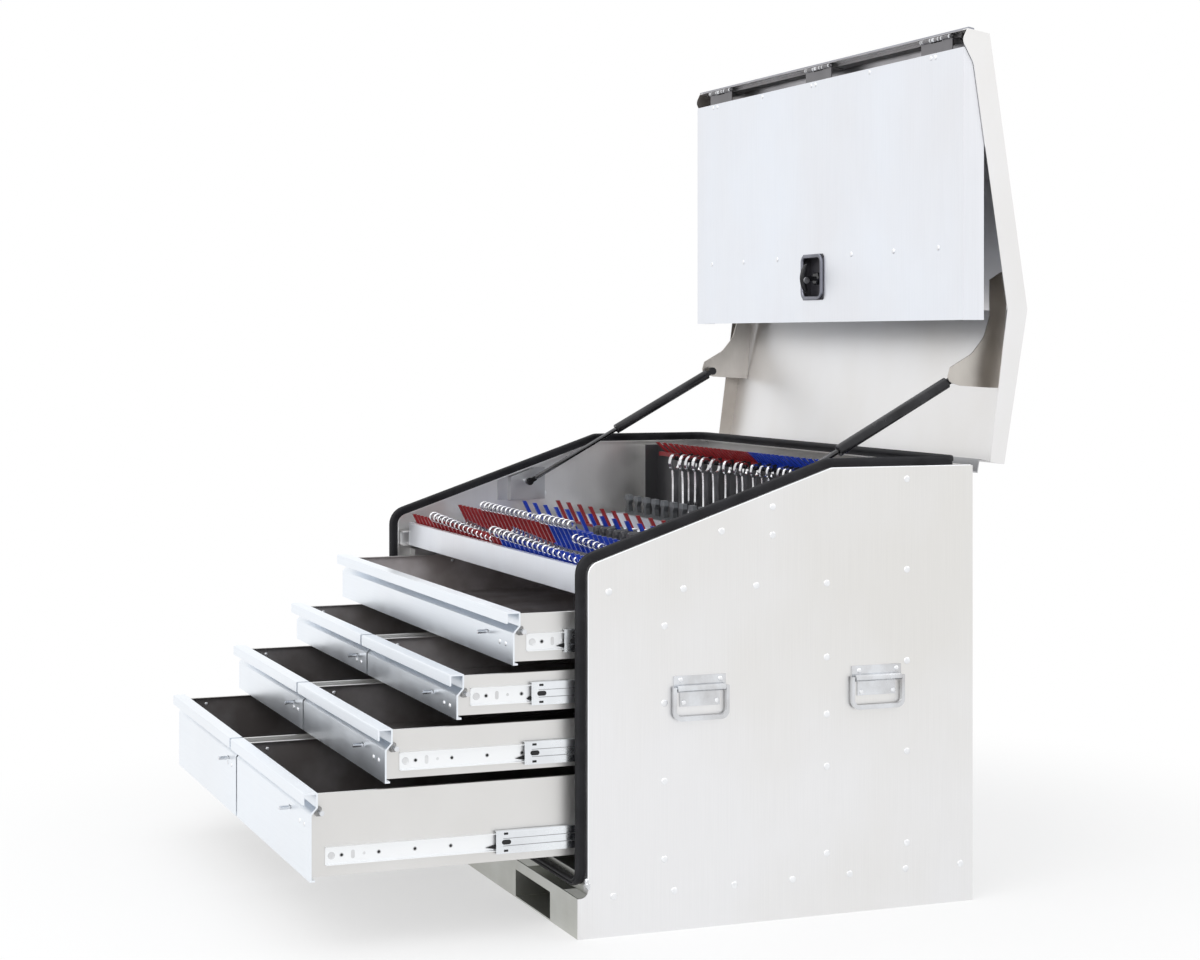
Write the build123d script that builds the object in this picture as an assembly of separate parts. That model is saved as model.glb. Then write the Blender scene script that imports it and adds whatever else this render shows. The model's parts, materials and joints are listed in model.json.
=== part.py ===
from build123d import *
import math
import os

os.makedirs("parts", exist_ok=True)

# Aluminium truck-bed tool chest, 48 in wide, sloped lid on gas struts, fold-down
# front door, seven drawers on ball-bearing slides and a tool tray.
# Frame: X right seen from the front, Y towards the back, Z up, origin on the
# floor under the middle of the cabinet. Millimetres. The model stands as it is
# shown: lid open, door hanging from the lid, drawers pulled out in steps.

# Dimensions
BODY_W = 1222.6        # outside of the cabinet, 48 in class
BODY_D = 777.0
BODY_H = 821.0         # top of the cabinet's flat part
FRONT_H = 658.0        # top of the vertical front edge
ROOF_Y = 91.4          # where the slope meets the flat top
SHEET = 2.3            # cabinet sheet
RETURN = 25.0          # inward flange round the opening
SILL_OUT = 20.5        # base plate in front of the cabinet's front
SILL_H = 72.0
SILL_R = 16.0
CORNER_R = 24.0        # where the opening's edge turns
FLOOR_Z = 76.0
RAIL_H = 28.0          # low rail under the first drawers
FORK_IN, FORK_W, FORK_H, FORK_WALL = 279.0, 190.0, 50.0, 3.0
SKID_W = 100.0         # centre bearer of the base

SEAL_IN = 19.3         # seal's centre line inside the side panels
SEAL_X = BODY_W / 2 - SEAL_IN
SEAL_BEHIND = 25.5     # seal's centre line in front of the back panel
SEAL_BACK = BODY_D / 2 - SEAL_BEHIND
SEAL_BASE_W, SEAL_BASE_H, SEAL_BULB_R, SEAL_H = 9.0, 6.0, 6.2, 17.5
SEAL_R = 30.0

DIVIDER_W = 22.6
DIVIDER_TOP = 480.0
POST_Y = (-352.0, 245.0)   # front edges of the posts that carry the slides
POST_W = 40.0
POST_T = 2.0
POST_TOP = 585.0

SLIDE_L = 660.4        # 26 in full-extension slide
SLIDE_H = 45.3
SLIDE_T = 12.7
SLIDE_SET = 31.0       # slide's front end behind the drawer face

DRAWER_HALF = 579.0    # half width over a full-width drawer front
FRONT_OVER = 6.3       # a drawer front reaches this far past the plane its slide bolts to
BOX_IN = FRONT_OVER + SLIDE_T        # box side, from the end of its front
PAIR_GAP = DIVIDER_W - 2 * FRONT_OVER    # between the two fronts of a pair
RAIL_T = 3.0           # wall of the extruded drawer rail
RAIL_BACK = 25.0       # height of the finger channel's back wall
RAIL_STEP = 11.0       # channel's back wall behind the panel
RAIL_DIAG = 12.0
RAIL_LIP = 26.5        # lip, measured from the channel's back wall
RAIL_HOOK = 20.0
RAIL_CURL = 9.0
BOX_T = 1.5
BOX_HEM = 8.0
BOX_REAR = 372.0       # back of a closed drawer
LEVER_DROP = 50.0      # latch lever below the top of the rail
BOLT_DROP = 35.0
LEVER_TRAVEL = 8.0

# name: (left x, right x, bottom, top of rail, pulled out, slide centre, lever x)
P = PAIR_GAP / 2
DRAWERS = {
    "top_drawer": (-DRAWER_HALF, DRAWER_HALF, 485.0, 579.0, 130.0, 522.5, 440.0),
    "second_left_drawer": (-DRAWER_HALF, -P, 396.0, 475.0, 234.0, 432.0, -70.0),
    "second_right_drawer": (P, DRAWER_HALF, 396.0, 475.0, 234.0, 432.0, 440.0),
    "third_left_drawer": (-DRAWER_HALF, -P, 294.0, 388.0, 363.0, 327.5, -70.0),
    "third_right_drawer": (P, DRAWER_HALF, 294.0, 388.0, 363.0, 327.5, 440.0),
    "bottom_left_drawer": (-DRAWER_HALF, -P, 135.0, 287.0, 495.0, 174.0, -70.0),
    "bottom_right_drawer": (P, DRAWER_HALF, 135.0, 287.0, 495.0, 174.0, 440.0),
}
# how far the middle slide members stand in front of the cabinet
MIDDLE_OUT = {130.0: 30.0, 234.0: 92.0, 363.0: 105.0, 495.0: 158.0}

TRAY_HALF, TRAY_Z, TRAY_LIP_TOP, TRAY_FRONT, TRAY_REAR, TRAY_T = (
    560.0, 597.0, 647.0, -370.0, 128.0, 1.6)
TRAY_WALL_TOP = 655.0  # side and rear walls, a little higher than the front lip
TRAY_LEDGE = 26.0      # flat flange behind the rear wall, under the plier rack
TRAY_RUNNER_H = 32.0
TRAY_FOOT = 23.0       # runner angle beside the tray, inside the seal
CHANNEL_REAR = 355.0   # back end of the channels that the tray slides in

# rows of slanted plastic fingers: (Y and Z of the tips, spacing)
FINGER_ROWS = [(-363.0, 667.0, 27.0), (-257.0, 685.0, 27.0), (-103.0, 690.0, 69.0), (-22.0, 689.0, 69.0)]
ROW_HALF = 540.0
FINGER_LEAN, FINGER_RISE = 25.0, 43.0    # from a finger's root to its tip
FINGER_W, FINGER_DEEP = 6.5, 8.0

# wrench board behind the tray, on a shelf over the back posts
BOARD_HALF, BOARD_Y, BOARD_T, BOARD_TOP, BOARD_FLANGE = 544.0, 227.0, 2.0, 813.0, 30.0
SHELF_HALF, SHELF_T = 600.0, 2.0
HOOK_ROOT_Z, HOOK_REACH, HOOK_RISE = 798.0, 30.0, 24.0
HOOK_HALF, HOOK_PITCH_MID, HOOK_PITCH_END = 505.0, 14.0, 40.0

# row of moulded posts for pliers, on the tray's ledge
PLIER_HALF, PLIER_PITCH, PLIER_TOP = 520.0, 52.0, 700.0
PLIER_POST_W, PLIER_CAP_W, PLIER_CAP_H, PLIER_FOOT_H, PLIER_T = 14.0, 26.0, 12.0, 8.0, 10.0

LID_T = 2.0
LID_HALF = 623.0       # outside of the lid's side flanges
LID_Z = 845.0          # top of the closed lid
LID_REAR = 385.0
LID_BEND = 87.4
LID_FRONT, LID_FRONT_TOP, LID_FRONT_LOW = -411.5, 675.2, 627.0
LID_SIDE = 43.0        # depth of the side flanges
LID_OPEN = 99.8        # degrees from closed to the photographed pose
HINGE_Y, HINGE_Z = 408.0, 806.0
KNUCKLE_R = 5.0
LID_LEAF_Z = 828.0     # where the hinge leaf turns over the cabinet's back edge

DOOR_HALF = 620.0
DOOR_T = 2.0
DOOR_FACE = -411.5     # closed
DOOR_LOW, DOOR_TOP = 86.0, 600.0
DOOR_SIDE = 44.0
DOOR_AXIS = (-404.4, 627.9)   # closed, Y and Z
DOOR_KNUCKLE_R = 4.0
DOOR_PIN_R = 2.4
DOOR_HINGES = (-503.0, 0.0, 504.0)
DOOR_HINGE_L = 120.0
BAR_HALF = 580.0       # spacer bars of lid and door, inside the bulb seal
LEAF_Y = -402.9        # front of the hinge leaves, closed
LEAF_T = 1.8

LATCH_X, LATCH_Z, LATCH_SQ, LATCH_DEEP, LATCH_RIM, LATCH_WALL = (
    -8.0, 1191.0, 98.0, 17.0, 1.8, 1.4)
LATCH_OPEN = 90.0      # clear square inside the dish
STEM_Z, STEM_L, GRIP_L, GRIP_R = 1188.0, 36.0, 64.0, 5.0

STRUT_X = 560.0
STRUT_LOW = (-83.0, 733.0)
STRUT_TOP = (375.0, 983.0)    # lid open
CYL_L, CYL_R, ROD_R = 262.0, 11.0, 5.0
EYE_R, EYE_T = 9.0, 9.0
BALL_GAP = 0.8        # ball stud's head beside the eye, and beside the passing rod

# handles on the cabinet sides: (front y, back y of the plate)
HANDLES = {"front": (-226.0, -124.0), "rear": (131.0, 234.0)}
HANDLE_Z0, HANDLE_Z1, HANDLE_PIVOT = 400.0, 455.0, 433.0
BAIL_LOW, BAIL_OVER, BAIL_T = 375.0, 3.5, 8.0
BAIL_X, BAIL_EYE, BAIL_PIN_R = 3.9, 2.8, 2.7   # half thickness, top above the pivot, pin

# Helpers
XO, YF, YB = BODY_W / 2, -BODY_D / 2, BODY_D / 2
SIDES = 12             # flats on small pins and knuckles
XI = XO - SHEET


def block(x0, x1, y0, y1, z0, z1):
    """A box from its corners."""
    return Pos((x0 + x1) / 2, (y0 + y1) / 2, (z0 + z1) / 2) * Box(
        abs(x1 - x0), abs(y1 - y0), abs(z1 - z0))


def across(pts, x0, x1, rounds=()):
    """A (y, z) outline extruded along X; rounds is [((y, z), radius)]."""
    sk = make_face(Polyline(*pts, close=True))
    for at, r in rounds:
        v = min(sk.vertices(), key=lambda v: math.hypot(v.X - at[0], v.Y - at[1]))
        sk = fillet([v], r)
    return extrude(Plane(origin=(x0, 0, 0), x_dir=(0, 1, 0), z_dir=(1, 0, 0)) * sk, x1 - x0)


def along(pts, y0, y1, rounds=()):
    """A (x, z) outline extruded along Y."""
    sk = make_face(Polyline(*pts, close=True))
    for at, r in rounds:
        v = min(sk.vertices(), key=lambda v: math.hypot(v.X - at[0], v.Y - at[1]))
        sk = fillet([v], r)
    return extrude(Plane(origin=(0, y1, 0), x_dir=(1, 0, 0), z_dir=(0, -1, 0)) * sk, y1 - y0)


def upward(pts, z0, z1):
    """A (x, y) outline extruded along Z."""
    return extrude(Plane(origin=(0, 0, z0)) * make_face(Polyline(*pts, close=True)), z1 - z0)


def strip(pts, t):
    """The outline of a folded sheet: the open path and its copy t to the left,
    with mitred corners."""
    n = len(pts)
    out = []
    for i, (x, y) in enumerate(pts):
        dirs = []
        if i:
            dirs.append((x - pts[i - 1][0], y - pts[i - 1][1]))
        if i < n - 1:
            dirs.append((pts[i + 1][0] - x, pts[i + 1][1] - y))
        norms = [(-b / math.hypot(a, b), a / math.hypot(a, b)) for a, b in dirs]
        mx, my = sum(a for a, _ in norms), sum(b for _, b in norms)
        k = t / (mx * norms[0][0] + my * norms[0][1])
        out.append((x + mx * k, y + my * k))
    return list(pts) + out[::-1]


def rod_y(y0, y1, x, z, r):
    return Pos(x, (y0 + y1) / 2, z) * Rot(90, 0, 0) * Cylinder(r, abs(y1 - y0))


def many_sided(r, length, clear=False):
    """A small pin or knuckle along Z with flats, of which the chest has many. The bore for
    one is clear: its flats stand off the radius."""
    return extrude(RegularPolygon(r, SIDES, major_radius=not clear), length / 2, both=True)


def pin_x(x0, x1, y, z, r, clear=False):
    return Pos((x0 + x1) / 2, y, z) * Rot(0, 90, 0) * many_sided(r, abs(x1 - x0), clear)


def pin_y(y0, y1, x, z, r, clear=False):
    return Pos(x, (y0 + y1) / 2, z) * Rot(90, 0, 0) * many_sided(r, abs(y1 - y0), clear)


def both(s):
    """A piece and its mirror image on the other side of the chest."""
    return [s, mirror(s, Plane.YZ)]


def flat(items):
    out = []
    for i in items:
        if isinstance(i, (list, tuple)):
            out += flat(i)
        else:
            out += list(i.solids())
    return out


def save(name, *items):
    solids = flat(items)
    export_step(Compound(label=name, children=solids), f"parts/{name}.step")
    print(name, len(solids), round(sum(s.volume for s in solids) / 1000, 1), "cm3")


LID_AXIS = Axis((0, HINGE_Y, HINGE_Z), (1, 0, 0))


def opened(s):
    """From the closed lid's place to the open one."""
    return s.rotate(LID_AXIS, -LID_OPEN)


def opened_point(y, z):
    a = math.radians(-LID_OPEN)
    dy, dz = y - HINGE_Y, z - HINGE_Z
    return (HINGE_Y + dy * math.cos(a) - dz * math.sin(a),
            HINGE_Z + dy * math.sin(a) + dz * math.cos(a))


_y, _z = opened_point(*DOOR_AXIS)
DOOR_SHIFT = (_y - DOOR_AXIS[0], _z - DOOR_AXIS[1])


def hung(s):
    """From the closed door's place to where it hangs from the open lid."""
    return Pos(0, *DOOR_SHIFT) * s


# Cabinet
side_outline = [
    (YF - SILL_OUT, 0), (YB, 0), (YB, BODY_H), (ROOF_Y, BODY_H), (YF, FRONT_H),
    (YF, SILL_H), (YF - SILL_OUT, SILL_H)]
side_wall = across(side_outline, XI, XO, rounds=[
    ((YF, SILL_H), SILL_R), ((YF, FRONT_H), CORNER_R), ((ROOF_Y, BODY_H), CORNER_R)])
opening_edge = [(YF, FLOOR_Z + SHEET), (YF, FRONT_H), (ROOF_Y, BODY_H), (YB - SHEET, BODY_H)]
fold = strip(opening_edge, -SHEET)
side_return = across(fold, XO - RETURN, XI + 0.5, rounds=[
    (fold[1], CORNER_R), (fold[2], CORNER_R),
    (fold[5], CORNER_R - SHEET), (fold[6], CORNER_R - SHEET)])
right_side = side_wall + side_return
save("right_side_panel", right_side)
save("left_side_panel", mirror(right_side, Plane.YZ))

back = block(-XI, XI, YB - SHEET, YB, 0, BODY_H)
back += block(-(XO - RETURN), XO - RETURN, YB - 33, YB - SHEET, BODY_H - SHEET, BODY_H)
for s in (-1, 1):
    back -= block(s * FORK_IN, s * (FORK_IN + FORK_W), YB - 9, YB + 9,
                  FORK_WALL, FORK_WALL + FORK_H)
save("back_panel", back)

sill = block(-XI, XI, YF - SILL_OUT, YF - SILL_OUT + SHEET, 0, SILL_H)
for s in (-1, 1):
    sill -= block(s * FORK_IN, s * (FORK_IN + FORK_W), YF - 40, YF,
                  FORK_WALL, FORK_WALL + FORK_H)
floor = across(strip([(YB - SHEET, FLOOR_Z + SHEET), (YF, FLOOR_Z + SHEET)], SHEET), -XI, XI)
low_rail = across(
    strip([(YF, FLOOR_Z + SHEET), (YF, FLOOR_Z + SHEET + RAIL_H)], -SHEET),
    -(XO - RETURN), XO - RETURN)
base_y0, base_y1 = YF - SILL_OUT + SHEET, YB - SHEET
tubes = []
for s in (-1, 1):
    outer = block(s * (FORK_IN - FORK_WALL), s * (FORK_IN + FORK_W + FORK_WALL),
                  base_y0, base_y1, 0, FORK_H + 2 * FORK_WALL)
    tubes.append(outer - block(s * FORK_IN, s * (FORK_IN + FORK_W), base_y0 - 1, base_y1 + 1,
                               FORK_WALL, FORK_WALL + FORK_H))
skid = block(-SKID_W / 2, SKID_W / 2, base_y0, base_y1, 0, FORK_H + 2 * FORK_WALL)
skid -= block(-SKID_W / 2 + FORK_WALL, SKID_W / 2 - FORK_WALL, base_y0 - 1, base_y1 + 1,
              FORK_WALL, FORK_H + FORK_WALL)
bearers = []
for y in (-330.0, -110.0, 110.0, 330.0):
    bearers.append(across([(y - 20, FORK_H + 2 * FORK_WALL), (y - 20, FLOOR_Z),
                           (y + 20, FLOOR_Z), (y + 20, FORK_H + 2 * FORK_WALL),
                           (y + 20 - SHEET, FORK_H + 2 * FORK_WALL),
                           (y + 20 - SHEET, FLOOR_Z - SHEET), (y - 20 + SHEET, FLOOR_Z - SHEET),
                           (y - 20 + SHEET, FORK_H + 2 * FORK_WALL)], -XI, XI))
save("base_frame", sill, floor, low_rail, tubes, skid, bearers)

div = DIVIDER_W / 2
divider = block(-div, div, -352, YB - SHEET, FLOOR_Z + SHEET, DIVIDER_TOP)
divider -= block(-div + POST_T, div - POST_T, -353, YB, FLOOR_Z + SHEET - 1, DIVIDER_TOP - POST_T)
save("centre_divider", divider)

slide_wall = DRAWER_HALF - FRONT_OVER      # plane that the slides bolt to
posts = []
for y in POST_Y:
    c = upward([(XI, y), (slide_wall, y), (slide_wall, y + POST_W), (XI, y + POST_W),
                (XI, y + POST_W - POST_T), (slide_wall + POST_T, y + POST_W - POST_T),
                (slide_wall + POST_T, y + POST_T), (XI, y + POST_T)],
               FLOOR_Z + SHEET, POST_TOP)
    posts += both(c)
tray_floor = TRAY_Z - 2.4
web_x = TRAY_HALF + 26.0
channel = along([(XI, tray_floor), (TRAY_HALF + 4, tray_floor), (TRAY_HALF + 4, tray_floor + 2),
                 (web_x, tray_floor + 2), (web_x, tray_floor + TRAY_RUNNER_H - 2),
                 (TRAY_HALF + 4, tray_floor + TRAY_RUNNER_H - 2),
                 (TRAY_HALF + 4, tray_floor + TRAY_RUNNER_H), (web_x + 2, tray_floor + TRAY_RUNNER_H),
                 (web_x + 2, tray_floor + 2), (XI, tray_floor + 2)],
                YF + 5, CHANNEL_REAR)
save("runner_posts", posts, both(channel))


def member(wall_x, s, web, web_t, tip, half, flange_t, y0, zc):
    """One C-shaped slide member: web at a distance from the wall plane, flanges
    reaching from the web to tip. s points from the wall towards the drawer."""
    a, b = wall_x + s * web, wall_x + s * (web + web_t)
    c = wall_x + s * tip
    far, near = (a, b) if abs(tip - web) > abs(tip - web - web_t) else (b, a)
    pts = [(far, zc - half), (c, zc - half), (c, zc - half + flange_t),
           (near, zc - half + flange_t), (near, zc + half - flange_t),
           (c, zc + half - flange_t), (c, zc + half), (far, zc + half)]
    return along(pts, y0, y0 + SLIDE_L)


def drawer_sides(x0, x1):
    """Where a drawer's slides bolt on: (wall plane, direction to the drawer)."""
    left = x0 + FRONT_OVER
    right = x1 - FRONT_OVER
    return [(left, 1), (right, -1)]


slide_y = YF + SLIDE_SET
outer_members = []
for x0, x1, zb, zt, out, zc, _ in DRAWERS.values():
    for wall_x, s in drawer_sides(x0, x1):
        outer_members.append(member(wall_x, s, 0, 1.5, 10.2, SLIDE_H / 2, 1.5, slide_y, zc))
save("cabinet_runners", outer_members)

# bulb seal: a gripping base and a bulb, one loop round the opening
w, r, h = SEAL_BASE_W / 2, SEAL_BULB_R, SEAL_H
seal_profile = make_face(Polyline(
    (-w, 0), (w, 0), (w, SEAL_BASE_H), (r, h - r), (0.55 * r, h), (-0.55 * r, h), (-r, h - r),
    (-w, SEAL_BASE_H), close=True))


def seal_run(path, origin, x_dir, z_dir):
    return sweep(Plane(origin=origin, x_dir=x_dir, z_dir=z_dir) * seal_profile, path=path)


JOIN = 560.0           # height of the joint between the front run and the side runs
SX = SEAL_X
front_path = FilletPolyline((-SX, YF, JOIN), (-SX, YF, 92), (SX, YF, 92), (SX, YF, JOIN),
                            radius=SEAL_R)
front_seal = seal_run(front_path, (-SX, YF, JOIN), (1, 0, 0), (0, 0, -1))
side_path = FilletPolyline((SX, YF, JOIN), (SX, YF, FRONT_H), (SX, ROOF_Y, BODY_H),
                           (SX, SEAL_BACK - SEAL_R, BODY_H), radius=CORNER_R)
side_seal = seal_run(side_path, (SX, YF, JOIN), (-1, 0, 0), (0, 0, 1))
back_path = FilletPolyline((SX, SEAL_BACK - SEAL_R, BODY_H), (SX, SEAL_BACK, BODY_H),
                           (-SX, SEAL_BACK, BODY_H), (-SX, SEAL_BACK - SEAL_R, BODY_H),
                           radius=SEAL_R - 2)
back_seal = seal_run(back_path, (SX, SEAL_BACK - SEAL_R, BODY_H), (-1, 0, 0), (0, 1, 0))
save("bulb_seal", front_seal, both(side_seal), back_seal)

# ball-stud brackets of the gas struts, on the inside of the side panels
hat_z0, hat_z1, hat_x = 689.0, 762.0, 592.0
hat = upward([(XI, -145), (XI, -29), (XI - 2.5, -29), (XI - 2.5, -54), (hat_x, -57),
              (hat_x, -117), (XI - 2.5, -120), (XI - 2.5, -145)], hat_z0, hat_z1)
hat -= upward([(XI + 1, -56), (XI - 2, -56), (hat_x + 2.5, -59.4), (hat_x + 2.5, -114.6),
               (XI - 2, -118), (XI + 1, -118)], hat_z0 - 1, hat_z1 + 1)
edge_slope = (BODY_H - FRONT_H) / (ROOF_Y - YF)
hat -= across([(-160, FRONT_H + (-160 - YF) * edge_slope - 7), (-10, FRONT_H + (-10 - YF) * edge_slope - 7),
               (-10, BODY_H), (-160, BODY_H)], hat_x - 5, XO)
stud_x = STRUT_X + EYE_T / 2 + BALL_GAP
stud = pin_x(hat_x + 1, stud_x + 3, *STRUT_LOW, 4.0) + pin_x(stud_x, stud_x + 8, *STRUT_LOW, 6.5)
save("strut_mounts", both(hat + stud))

# rear hinge: stand-off channel on the back panel, leaf and knuckles
hinge_half = 560.0
segs = 5
seg = 2 * hinge_half / segs
stand = across(strip([(YB, 762), (YB + 16, 762), (YB + 16, 796), (YB, 796)], 2.0),
               -hinge_half, hinge_half)
body_leaf = across([(YB + 16, 766), (YB + 18.2, 766), (YB + 18.2, HINGE_Z), (YB + 16, HINGE_Z)],
                   -hinge_half, hinge_half)
body_hinge = stand + body_leaf
for i in range(0, segs, 2):
    body_hinge += pin_x(-hinge_half + i * seg + 1, -hinge_half + (i + 1) * seg - 1,
                        HINGE_Y, HINGE_Z, KNUCKLE_R)
for i in range(1, segs, 2):
    body_hinge -= block(-hinge_half + i * seg - 1, -hinge_half + (i + 1) * seg + 1,
                        HINGE_Y - 9, HINGE_Y + 9, HINGE_Z - KNUCKLE_R - 0.8, HINGE_Z + 1)
pin = pin_x(-hinge_half, hinge_half, HINGE_Y, HINGE_Z, 2.0)
save("rear_hinge", body_hinge + pin)

# handles: rolled plate and swinging bail
plates, bails = [], {}
pivot_x = XO + 7.9
for name, (y0, y1) in HANDLES.items():
    up = block(XO, XO + 3, y0, y1, HANDLE_PIVOT, HANDLE_Z1)
    low = block(XO, XO + 3, y0 + 12, y1 - 12, HANDLE_Z0, HANDLE_PIVOT)
    roll = pin_y(y0 + 4, y1 - 4, pivot_x, HANDLE_PIVOT, 6.6)
    plate = up + low + roll
    plate -= pin_y(y0, y1, pivot_x, HANDLE_PIVOT, BAIL_PIN_R + 0.6, clear=True)
    plates.append(plate)
    oy0, oy1 = y0 - BAIL_OVER, y1 + BAIL_OVER
    ring = across([(oy0, HANDLE_PIVOT + BAIL_EYE), (oy1, HANDLE_PIVOT + BAIL_EYE), (oy1, BAIL_LOW),
                   (oy0, BAIL_LOW)], pivot_x - BAIL_X, pivot_x + BAIL_X,
                  rounds=[((oy0, BAIL_LOW), 16), ((oy1, BAIL_LOW), 16)])
    t = BAIL_T - 2.0
    ring -= across([(oy0 + t, HANDLE_PIVOT + 9), (oy1 - t, HANDLE_PIVOT + 9),
                    (oy1 - t, BAIL_LOW + BAIL_T), (oy0 + t, BAIL_LOW + BAIL_T)],
                   pivot_x - 9, pivot_x + 9,
                   rounds=[((oy0 + t, BAIL_LOW + BAIL_T), 10), ((oy1 - t, BAIL_LOW + BAIL_T), 10)])
    bails[name] = ring + pin_y(oy0 + t, oy1 - t, pivot_x, HANDLE_PIVOT, BAIL_PIN_R)
save("handle_plates", [both(p) for p in plates])
for name, b in bails.items():
    save(f"right_{name}_bail", b)
    save(f"left_{name}_bail", mirror(b, Plane.YZ))

# Drawers
def rail_outline(zb, zt):
    """The extruded drawer front: curl, panel, step back, channel, lip, hook."""
    yb = YF + RAIL_STEP + RAIL_T
    z1 = zt - RAIL_BACK
    k = RAIL_T
    return [(YF, zb), (YF + RAIL_CURL, zb), (YF + RAIL_CURL, zb + k), (YF + k, zb + k),
            (YF + k, z1 - RAIL_DIAG - 1), (yb, z1 - 1), (yb, zt),
            (yb - RAIL_LIP, zt), (yb - RAIL_LIP, zt - RAIL_HOOK),
            (yb - RAIL_LIP + k, zt - RAIL_HOOK), (yb - RAIL_LIP + k, zt - k),
            (yb - k, zt - k), (yb - k, z1), (YF, z1 - RAIL_DIAG)]


def drawer(name, x0, x1, zb, zt, out, zc, lever_x):
    shift = Pos(0, -out, 0)
    bx0, bx1 = x0 + BOX_IN, x1 - BOX_IN
    yb = YF + RAIL_STEP + RAIL_T
    y_low = YF + RAIL_T
    z_step = zt - RAIL_BACK
    box_top = zt - 6.0
    box_low = zb + RAIL_T + 1.0
    # front rail with the slot of the latch lever
    front = across(rail_outline(zb, zt), x0, x1,
                   rounds=[((yb - RAIL_LIP, zt), 2.5), ((yb, zt), 2.0)])
    slot_z = zt - LEVER_DROP
    front -= block(lever_x - 4 - LEVER_TRAVEL, lever_x + 4, YF - 1, YF + RAIL_T + 1,
                   slot_z - 3.5, slot_z + 3.5)
    save(f"{name}_front", shift * front)
    # folded box with hemmed sides, and the inner slide members bolted to it
    side = [(y_low, box_low), (BOX_REAR, box_low), (BOX_REAR, box_top), (yb, box_top),
            (yb, z_step - 1), (y_low, z_step - RAIL_DIAG - 1)]
    hem = [(yb, box_top - BOX_T), (BOX_REAR, box_top - BOX_T), (BOX_REAR, box_top), (yb, box_top)]
    body = across(side, bx0, bx0 + BOX_T) + across(side, bx1 - BOX_T, bx1)
    body += across(hem, bx0, bx0 + BOX_HEM) + across(hem, bx1 - BOX_HEM, bx1)
    body += block(bx0, bx1, y_low, BOX_REAR, box_low, box_low + BOX_T)
    body += block(bx0, bx1, BOX_REAR - BOX_T, BOX_REAR, box_low, box_top)
    body += block(bx0, bx1, BOX_REAR - BOX_HEM, BOX_REAR, box_top - BOX_T, box_top)
    bolt_z = zt - BOLT_DROP
    bolt_y = YF + 20.0
    body -= block(bx1 - BOX_T - 1, bx1 + 1, bolt_y - 5, bolt_y + 5, bolt_z - 5, bolt_z + 5)
    inner = [member(w, s, SLIDE_T - 1.5, 1.5, 4.4, 15.5, 1.4, slide_y, zc)
             for w, s in drawer_sides(x0, x1)]
    save(f"{name}_box", shift * body, [shift * m for m in inner])
    # middle slide members, half as far out as the drawer
    mid_shift = Pos(0, -MIDDLE_OUT[out] - SLIDE_SET, 0)
    mids = []
    for w, s in drawer_sides(x0, x1):
        mids.append(member(w, s, 2.2, 1.5, 10.7, 20.3, 1.4, YF + SLIDE_SET, zc))
    save(f"{name}_slides", [mid_shift * m for m in mids])
    # latch: lever through the front, link plate and spring bolt out of the side
    ly0 = YF - 20.0
    lever = block(lever_x - 2.3, lever_x + 2.3, YF - 4, YF + RAIL_T + 0.4, slot_z - 2.3, slot_z + 2.3)
    lever += pin_y(ly0, YF - 4, lever_x, slot_z, 3.5)
    link = block(lever_x - 14, bx1 - BOX_T - 14, YF + RAIL_T + 0.4, YF + RAIL_T + 3.4,
                 slot_z - 5, slot_z + 5)
    arm = block(bx1 - BOX_T - 26, bx1 - BOX_T - 14, YF + RAIL_T + 0.4, bolt_y + 6,
                slot_z - 5, slot_z + 5)
    riser = block(bx1 - BOX_T - 26, bx1 - BOX_T - 14, bolt_y - 6, bolt_y + 6, slot_z - 5, bolt_z + 6)
    bolt = pin_x(bx1 - BOX_T - 14, x1 + 5.0, bolt_y, bolt_z, 4.4)
    save(f"{name}_latch", shift * (lever + link + arm + riser + bolt))


for name, row in DRAWERS.items():
    drawer(name, *row)

# Tool tray
tz = TRAY_Z
pan = block(-TRAY_HALF, TRAY_HALF, TRAY_FRONT, TRAY_REAR, tz, tz + TRAY_T)
pan += block(-TRAY_HALF, TRAY_HALF, TRAY_FRONT, TRAY_FRONT + TRAY_T, tz, TRAY_LIP_TOP)
pan += block(-TRAY_HALF, TRAY_HALF, TRAY_FRONT, TRAY_FRONT + 10, TRAY_LIP_TOP - TRAY_T, TRAY_LIP_TOP)
pan += across(strip([(TRAY_REAR - TRAY_T, tz), (TRAY_REAR - TRAY_T, TRAY_WALL_TOP),
                     (TRAY_REAR + TRAY_LEDGE, TRAY_WALL_TOP)], -TRAY_T), -TRAY_HALF, TRAY_HALF)
for s in (-1, 1):
    pan += across([(TRAY_FRONT, tz), (TRAY_REAR, tz),
                   (TRAY_REAR, TRAY_WALL_TOP), (TRAY_FRONT, TRAY_LIP_TOP)],
                  *sorted((s * (TRAY_HALF - TRAY_T), s * TRAY_HALF)))
    pan += block(s * TRAY_HALF, s * (TRAY_HALF + TRAY_FOOT), TRAY_FRONT + 8, TRAY_REAR, tz, tz + 2)
    pan += block(s * (TRAY_HALF + TRAY_FOOT - 2), s * (TRAY_HALF + TRAY_FOOT), TRAY_FRONT + 8,
                 TRAY_REAR, tz, tz + TRAY_RUNNER_H - 7)
save("tool_tray", pan)


def finger(x, root_y, root_z, lean, rise):
    """A flat plastic finger that leans forward from its root."""
    tip_y, tip_z = root_y - lean, root_z + rise
    return across([(root_y, root_z), (tip_y + FINGER_DEEP / 2, tip_z), (tip_y - FINGER_DEEP / 2, tip_z),
                   (root_y - FINGER_DEEP, root_z)], x - FINGER_W / 2, x + FINGER_W / 2)


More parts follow.
